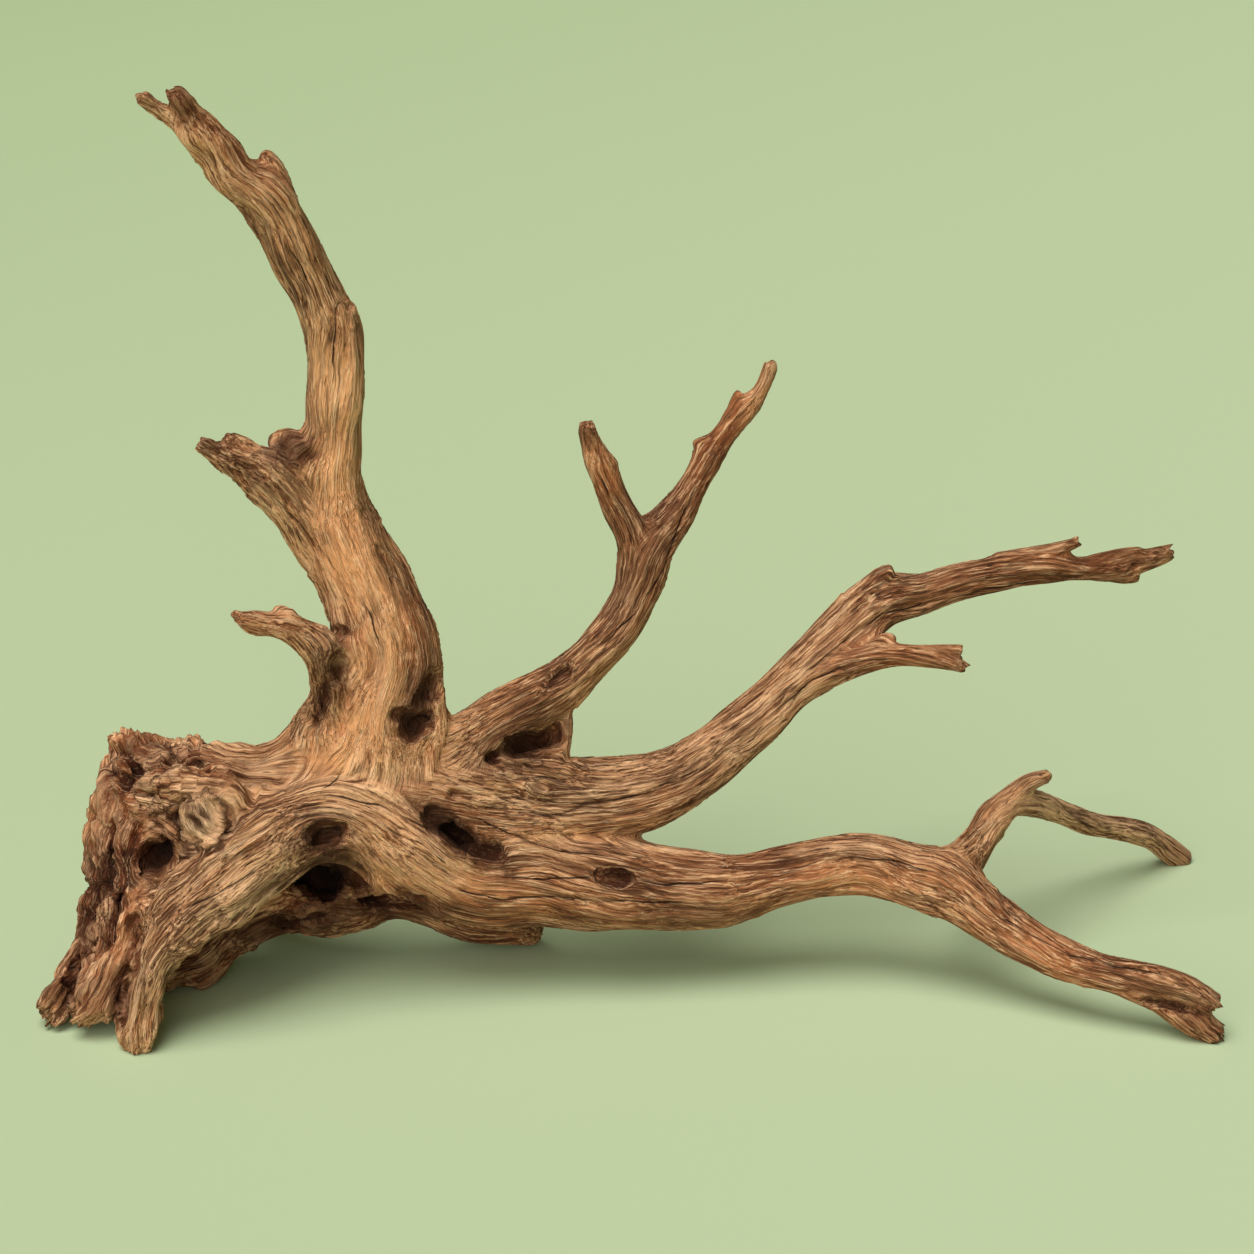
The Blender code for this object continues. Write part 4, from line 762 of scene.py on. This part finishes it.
stout = np.clip(radius / 16, 0.35, 1.15)
relief = np.zeros(len(at))
torn = np.zeros(len(at))
for lane, q in enumerate(lanes):
    broad = lattice(q / BROAD_CELL, 3 + lane)
    groove = trough(lattice(q / GROOVE_CELL, 11 + lane), GROOVE_WIDTH)
    thin = trough(lattice(q / THIN_CELL, 23 + lane), THIN_WIDTH)
    flake = (FLAKE_STEPS * lattice(q / FLAKE_CELL, 29 + lane)) % 1.0
    relief += share[lane] * (BROAD_HEIGHT * broad * stout - GROOVE_DEPTH * groove**1.3 * stout
                             - THIN_DEPTH * thin + FLAKE_HEIGHT * (flake - 0.5) * stout)
    ridge = 1 - 2 * np.abs(lattice(q / RIDGE_CELL, 41 + lane))
    fibres = 1 - 2 * np.abs(lattice(q / FIBRE_CELL, 43 + lane))
    torn += share[lane] * (RIDGE_HEIGHT * ridge + FIBRE_HEIGHT * fibres)
crumb = 1 - 2 * np.abs(lattice(at / CRUMB_CELL, 83))
chunk = 1 - 2.2 * np.abs(lattice(at / CHUNK_CELL, 85))
relief = relief * (1 - 0.3 * broken) + broken * (1.3 * torn + 0.9 * crumb + 0.9 * chunk - 1.0) + rim

# The long cracks. For the material, crack_gap is how far a place is from the nearest crack, above
# zero on one side of it, so that between two points of the mesh it passes zero on the crack itself.
CRACK_SHARE, CRACK_NEAR = 0.6, 2.6
crack_gap, crack_shows = np.full(len(at), 9.0), np.zeros(len(at))
for width, depth, *points in CRACKS:
    away, end = away_from(east, south, points)
    away = away + 0.9 * lattice(at / 9.0, 27)
    fade = np.clip(end / 10 + 0.2, 0, 1)
    relief -= CRACK_SHARE * depth * np.exp(-(away / width)**2) * fade * front
    nearer = np.abs(away) < np.abs(crack_gap)
    crack_gap[nearer] = away[nearer]
    shows = np.clip(CRACK_NEAR - np.abs(away), 0, 1) * np.clip(end / 7, 0, 1) * (front > 0.3)
    shows *= np.clip(0.75 + 1.5 * lattice(at / 13.0, 28), 0, 1)
    crack_shows[nearer] = shows[nearer]

# Broken ends: the round end of each free limb is cut back, and its fibres end at different lengths
END_FIBRE, END_RAGGED = 1.7, 0.45
slide = np.zeros_like(at)
for i, name in enumerate(names):
    if name in BROKEN_ENDS:
        points, radii = lines[i]
        tangent = unit(points[-1] - points[-2])
        length = np.linalg.norm(np.diff(points, axis=0), axis=1).sum()
        past = found[i][3] - length
        near = np.clip(1 + past / (1.5 * radii[-1] + 2), 0, 1) * (found[i][0] < 6) * weight[i]
        fibre = lattice(np.column_stack([past / 9, found[i][4] / END_FIBRE]), 300 + i)
        cut = 0.8 * np.maximum(past - 0.5 * radii[-1], 0)
        amount = near * (fibre * END_RAGGED * (radii[-1] + 1.5) - cut)
        slide += amount[:, None] * tangent

# Thin limbs get lower relief, and nothing goes below the ground or outside the solid's box
RELIEF_LIMITS = (-5.0, 3.6)
CLEAR = 0.05
slender = np.clip(radius / 7, 0.45, 1)
at = at + (np.clip(relief, *RELIEF_LIMITS) * slender)[:, None] * out + slide + ORIGIN_SHIFT
at[:, 2] = np.maximum(at[:, 2], CLEAR)
low, high = np.array(cad_box) / MM
at = np.clip(at, low + CLEAR, high - CLEAR)
moved(mesh, at)


def keep(name, values):
    """Keeps a number or a vector for each vertex, for the material to read by name."""
    kind, field = ("FLOAT_VECTOR", "vector") if values.ndim == 2 else ("FLOAT", "value")
    flat = np.ascontiguousarray(values, np.float32).ravel()
    mesh.attributes.new(name, kind, "POINT").data.foreach_set(field, flat)


for lane, q in enumerate(lanes):
    keep(f"grain_{lane}", q)
    keep(f"share_{lane}", share[lane])
keep("relief", relief)
keep("hollow", eased(hollow, 2))
keep("smooth", np.maximum(tones["warm"], ringed))
keep("crack_gap", crack_gap)
keep("crack_shows", crack_shows)
keep("broken", broken)
for kind, amount in tones.items():
    keep(kind, amount)
mesh, at = baked("DECIMATE", ratio=SKIN_TRIANGLES / sum(len(p.vertices) - 2 for p in mesh.polygons))
mesh.name = "driftwood_weathered"
mesh.shade_smooth()


def linear(hex_colour):
    """An sRGB colour written as hex, as the linear colour that shaders take."""
    parts = [int(hex_colour[i:i + 2], 16) / 255 for i in (1, 3, 5)]
    return [c / 12.92 if c <= 0.04045 else ((c + 0.055) / 1.055)**2.4 for c in parts] + [1.0]


def add(tree, kind, links=(), **settings):
    """A shader node with its settings, and its inputs set or linked by name or number."""
    made = tree.nodes.new(kind)
    for name, value in settings.items():
        setattr(made, name, value)
    for name, value in dict(links).items():
        if isinstance(value, bpy.types.NodeSocket):
            tree.links.new(value, made.inputs[name])
        else:
            made.inputs[name].default_value = value
    return made


# Bare driftwood: dry and matt, tan and brown, with painted highlights where it stands out and painted shade in
# its grooves and hollows
finish = bpy.data.materials.new("weathered_driftwood")
finish.use_nodes = True
tree = finish.node_tree
tree.nodes.clear()


def math(operation, *values):
    return add(tree, "ShaderNodeMath", dict(enumerate(values)), operation=operation).outputs[0]


def ramp(value, low, high, to_low=0.0, to_high=1.0):
    made = add(tree, "ShaderNodeMapRange", {0: value, 1: low, 2: high, 3: to_low, 4: to_high})
    return made.outputs[0]


def mixed(factor, a, b, mode="MIX"):
    made = add(tree, "ShaderNodeMix", {0: factor, 6: a, 7: b}, data_type="RGBA", blend_type=mode)
    return made.outputs[2]


def read(name, output="Fac"):
    return add(tree, "ShaderNodeAttribute", attribute_name=name).outputs[output]


def noise(vector, scale, detail, rough=0.5):
    made = {"Vector": vector, "Scale": scale, "Detail": detail, "Roughness": rough}
    return add(tree, "ShaderNodeTexNoise", made).outputs[0]


# Grain: noises stretched along the fibres, summed over the lanes, each with its cells in millimetres,
# detail and roughness.
# A line is where a noise passes its middle value, so it is thin, long, and follows the fibres.
STREAK = ((80, 4.2, 4.2), 5.0, 0.66)
FIBRE = ((34, 1.3, 1.3), 3.0, 0.7)
LINE = ((54, 2.8, 2.8), 2.0, 0.6)
FLECK = ((15, 1.2, 1.2), 1.0, 0.5)
streak, fibre, line, fleck = 0.0, 0.0, 0.0, 0.0
for lane in range(4):
    q = read(f"grain_{lane}", "Vector")
    part = read(f"share_{lane}")
    grown = []
    for size, detail, rough in (STREAK, FIBRE, LINE, FLECK):
        bent = add(tree, "ShaderNodeVectorMath", {0: q, 1: size}, operation="DIVIDE").outputs[0]
        grown.append(noise(bent, 1.0, detail, rough))
    streak = math("MULTIPLY_ADD", grown[0], part, streak)
    fibre = math("MULTIPLY_ADD", grown[1], part, fibre)
    middle = math("ABSOLUTE", math("SUBTRACT", grown[2], 0.5))
    line = math("MULTIPLY_ADD", ramp(middle, 0.012, 0.055, 1.0, 0.0), part, line)
    fleck = math("MULTIPLY_ADD", ramp(grown[3], 0.27, 0.33, 1.0, 0.0), part, fleck)

PATCH_SCALE, GRIT_SCALE = 26.0, 420.0
place_now = add(tree, "ShaderNodeTexCoord").outputs["Object"]
patches = noise(place_now, PATCH_SCALE, 4.0)
grit = noise(place_now, GRIT_SCALE, 3.0)
relief_there = read("relief")
hollow_there = read("hollow")
broken_there = read("broken")
crack_there = ramp(math("ABSOLUTE", read("crack_gap")), 0.16, 0.5, 1.0, 0.0)
crack_there = math("MULTIPLY", crack_there, read("crack_shows"))
line = math("MULTIPLY", line, ramp(patches, 0.4, 0.6, 0.35, 1.0))
dark_wood_and_shade_there = math("MULTIPLY", read("dark_wood_and_shade"), 0.65)
clean = math("SUBTRACT", 1.0, math("MULTIPLY", read("smooth"), 0.65))
# lit: how much of the painted highlights may show, less in the dark, shaded zone and, for the fibres, less in
# the hollows
lit = math("SUBTRACT", 1.0, dark_wood_and_shade_there)
lit_fibre = math("MULTIPLY", lit, ramp(hollow_there, 1.0, 5.0, 1.0, 0.25))

# Layers of colour over the wood's brown and tan: where each shows, its strength there, its colour.
# The stains, and the painted shade on the walls of the hollows, are multiplied; the rest cover.
LIGHT, GROOVE_SHADE, FINE_LINE = "#f4c498", "#361c0e", "#42230f"
STAINS_AND_HOLLOW_SHADE = ("#c0a18d", "#cda48a", "#7c5a42")
LAYERS = (
    (ramp(streak, 0.5, 0.66), 1.0, LIGHT),
    (read("warm"), 0.78, "#fbb078"),
    (read("pale"), 0.3, "#eec49a"),
    (read("brown"), 1.0, "#c0a18d"),
    (broken_there, 0.8, "#cda48a"),
    (read("grey"), 0.5, "#755a47"),
    (ramp(patches, 0.5, 0.64, 0.0, 0.5), clean, "#8a5231"),
    # The dark zone: painted shade, and dark wood at the tips
    (dark_wood_and_shade_there, 1.0, "#472815"),
    # Painted highlight where the relief stands up, and painted shade where it sinks into grooves, folds and
    # cracks
    (ramp(relief_there, 0.2, 1.6, 0.0, 0.45), lit, LIGHT),
    (ramp(relief_there, -2.4, -0.5, 0.85, 0.0), clean, GROOVE_SHADE),
    # Painted shade on the walls of the hollows and deep folds, darker with their depth
    (ramp(hollow_there, 0.6, 4.0, 0.0, 0.85), 1.0, "#7c5a42"),
    (ramp(fibre, 0.38, 0.48, 0.9, 0.0), clean, "#502c17"),
    # Painted highlight on the crests of the fine fibres
    (ramp(fibre, 0.52, 0.61, 0.0, 0.68), lit_fibre, LIGHT),
    (line, math("MULTIPLY", clean, 0.7), FINE_LINE),
    (fleck, math("MULTIPLY", clean, 0.8), FINE_LINE),
    (crack_there, 0.9, "#201008"),
    # Painted shade: the deepest hollows go nearly black
    (ramp(hollow_there, 5.5, 15.0, 0.0, 0.9), 1.0, "#180c05"),
)
colour = mixed(ramp(streak, 0.36, 0.49), linear("#a26841"), linear("#dba070"))
for there, strength, tint in LAYERS:
    mode = "MULTIPLY" if tint in STAINS_AND_HOLLOW_SHADE else "MIX"
    colour = mixed(math("MULTIPLY", there, strength), colour, linear(tint), mode)

# Height of the fine grain, for the bump
tall = math("MULTIPLY_ADD", fibre, 0.8, math("MULTIPLY", line, -0.22))
tall = math("MULTIPLY_ADD", streak, 0.6, tall)
tall = math("MULTIPLY_ADD", crack_there, -0.5, math("MULTIPLY_ADD", fleck, -0.15, tall))
tall = math("MULTIPLY_ADD", grit, math("MULTIPLY_ADD", broken_there, 0.3, 0.08), tall)
BUMP_HEIGHT = 3.4 * MM
bump = add(tree, "ShaderNodeBump", {"Strength": 1.0, "Distance": BUMP_HEIGHT, "Height": tall}).outputs[0]
bare = {"Base Color": colour, "Roughness": 0.85, "Normal": bump, "Specular IOR Level": 0.2}
shader = add(tree, "ShaderNodeBsdfPrincipled", bare)
add(tree, "ShaderNodeOutputMaterial", {"Surface": shader.outputs[0]})
mesh.materials.clear()
mesh.materials.append(finish)
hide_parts("driftwood")
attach(wood, "root")

# Floor
# A wide sheet of pale green paper that fills the view.
HALF_SHEET = 12.0
floor_mesh = bpy.data.meshes.new("floor")
corners = [(x * HALF_SHEET, y * HALF_SHEET, 0) for x, y in ((-1, -1), (1, -1), (1, 1), (-1, 1))]
floor_mesh.from_pydata(corners, [], [(0, 1, 2, 3)])
floor = bpy.data.objects.new("floor", floor_mesh)
bpy.context.scene.collection.objects.link(floor)
paper = bpy.data.materials.new("pale_green_paper")
paper.use_nodes = True
paper_shader = paper.node_tree.nodes["Principled BSDF"]
tree = paper.node_tree
place_now = add(tree, "ShaderNodeTexCoord").outputs["Object"]
on_paper = add(tree, "ShaderNodeSeparateXYZ", {0: place_now}).outputs
# The paper is painted darker towards the back and the left: painted shade for the lamps' light falling off
far = ramp(on_paper[1], 0.0, 3.2, 0.0, 0.5)
to_left = ramp(on_paper[0], -1.0, 1.0, 0.5, 0.0)
paper_light, paper_dark = linear("#bdcda9"), linear("#aabc93")
shade = mixed(math("ADD", far, to_left), paper_light, paper_dark)
tree.links.new(shade, paper_shader.inputs["Base Color"])
paper_shader.inputs["Roughness"].default_value = 0.95
paper_shader.inputs["Specular IOR Level"].default_value = 0.1
floor_mesh.materials.append(paper)

# Light
# A wide soft lamp overhead, a little to the left and in front, a weaker one from the front, and the
# glow of a pale green room. Each lamp has its energy, its width and its turn in degrees.
LAMPS = {"overhead": (2.7, 46, (14, -14, 0)), "front": (1.85, 60, (70, 0, -18))}
LAMP_COLOUR = (1.0, 0.98, 0.94)
for name, (energy, width, turn) in LAMPS.items():
    lamp_data = bpy.data.lights.new(name, "SUN")
    lamp_data.energy = energy
    lamp_data.angle = np.radians(width)
    lamp_data.color = LAMP_COLOUR
    lamp = bpy.data.objects.new(name, lamp_data)
    lamp.rotation_euler = np.radians(turn)
    bpy.context.scene.collection.objects.link(lamp)
ROOM_COLOUR, ROOM_STRENGTH = (0.8, 0.87, 0.38, 1), 0.1
world = bpy.data.worlds.new("room")
world.use_nodes = True
room = world.node_tree.nodes["Background"].inputs
room["Color"].default_value = ROOM_COLOUR
room["Strength"].default_value = ROOM_STRENGTH
bpy.context.scene.world = world
bpy.context.scene.view_settings.view_transform = "Standard"

# Camera
# At the photograph's place: 1600 mm from the sheet's middle, looking down 20 degrees.
camera_data = bpy.data.cameras.new("camera")
SENSOR = 36
camera_data.sensor_width = SENSOR
camera_data.lens = SENSOR * EYE_DISTANCE / SHEET
camera = bpy.data.objects.new("camera", camera_data)
middle = np.array([0.0, 0.0, SHEET_MIDDLE_UP]) + ORIGIN_SHIFT
camera.location = (middle - EYE_DISTANCE * SIGHT) * MM
camera.rotation_euler = (np.pi / 2 - SIGHT_SLOPE, 0, 0)
bpy.context.scene.collection.objects.link(camera)
bpy.context.scene.camera = camera
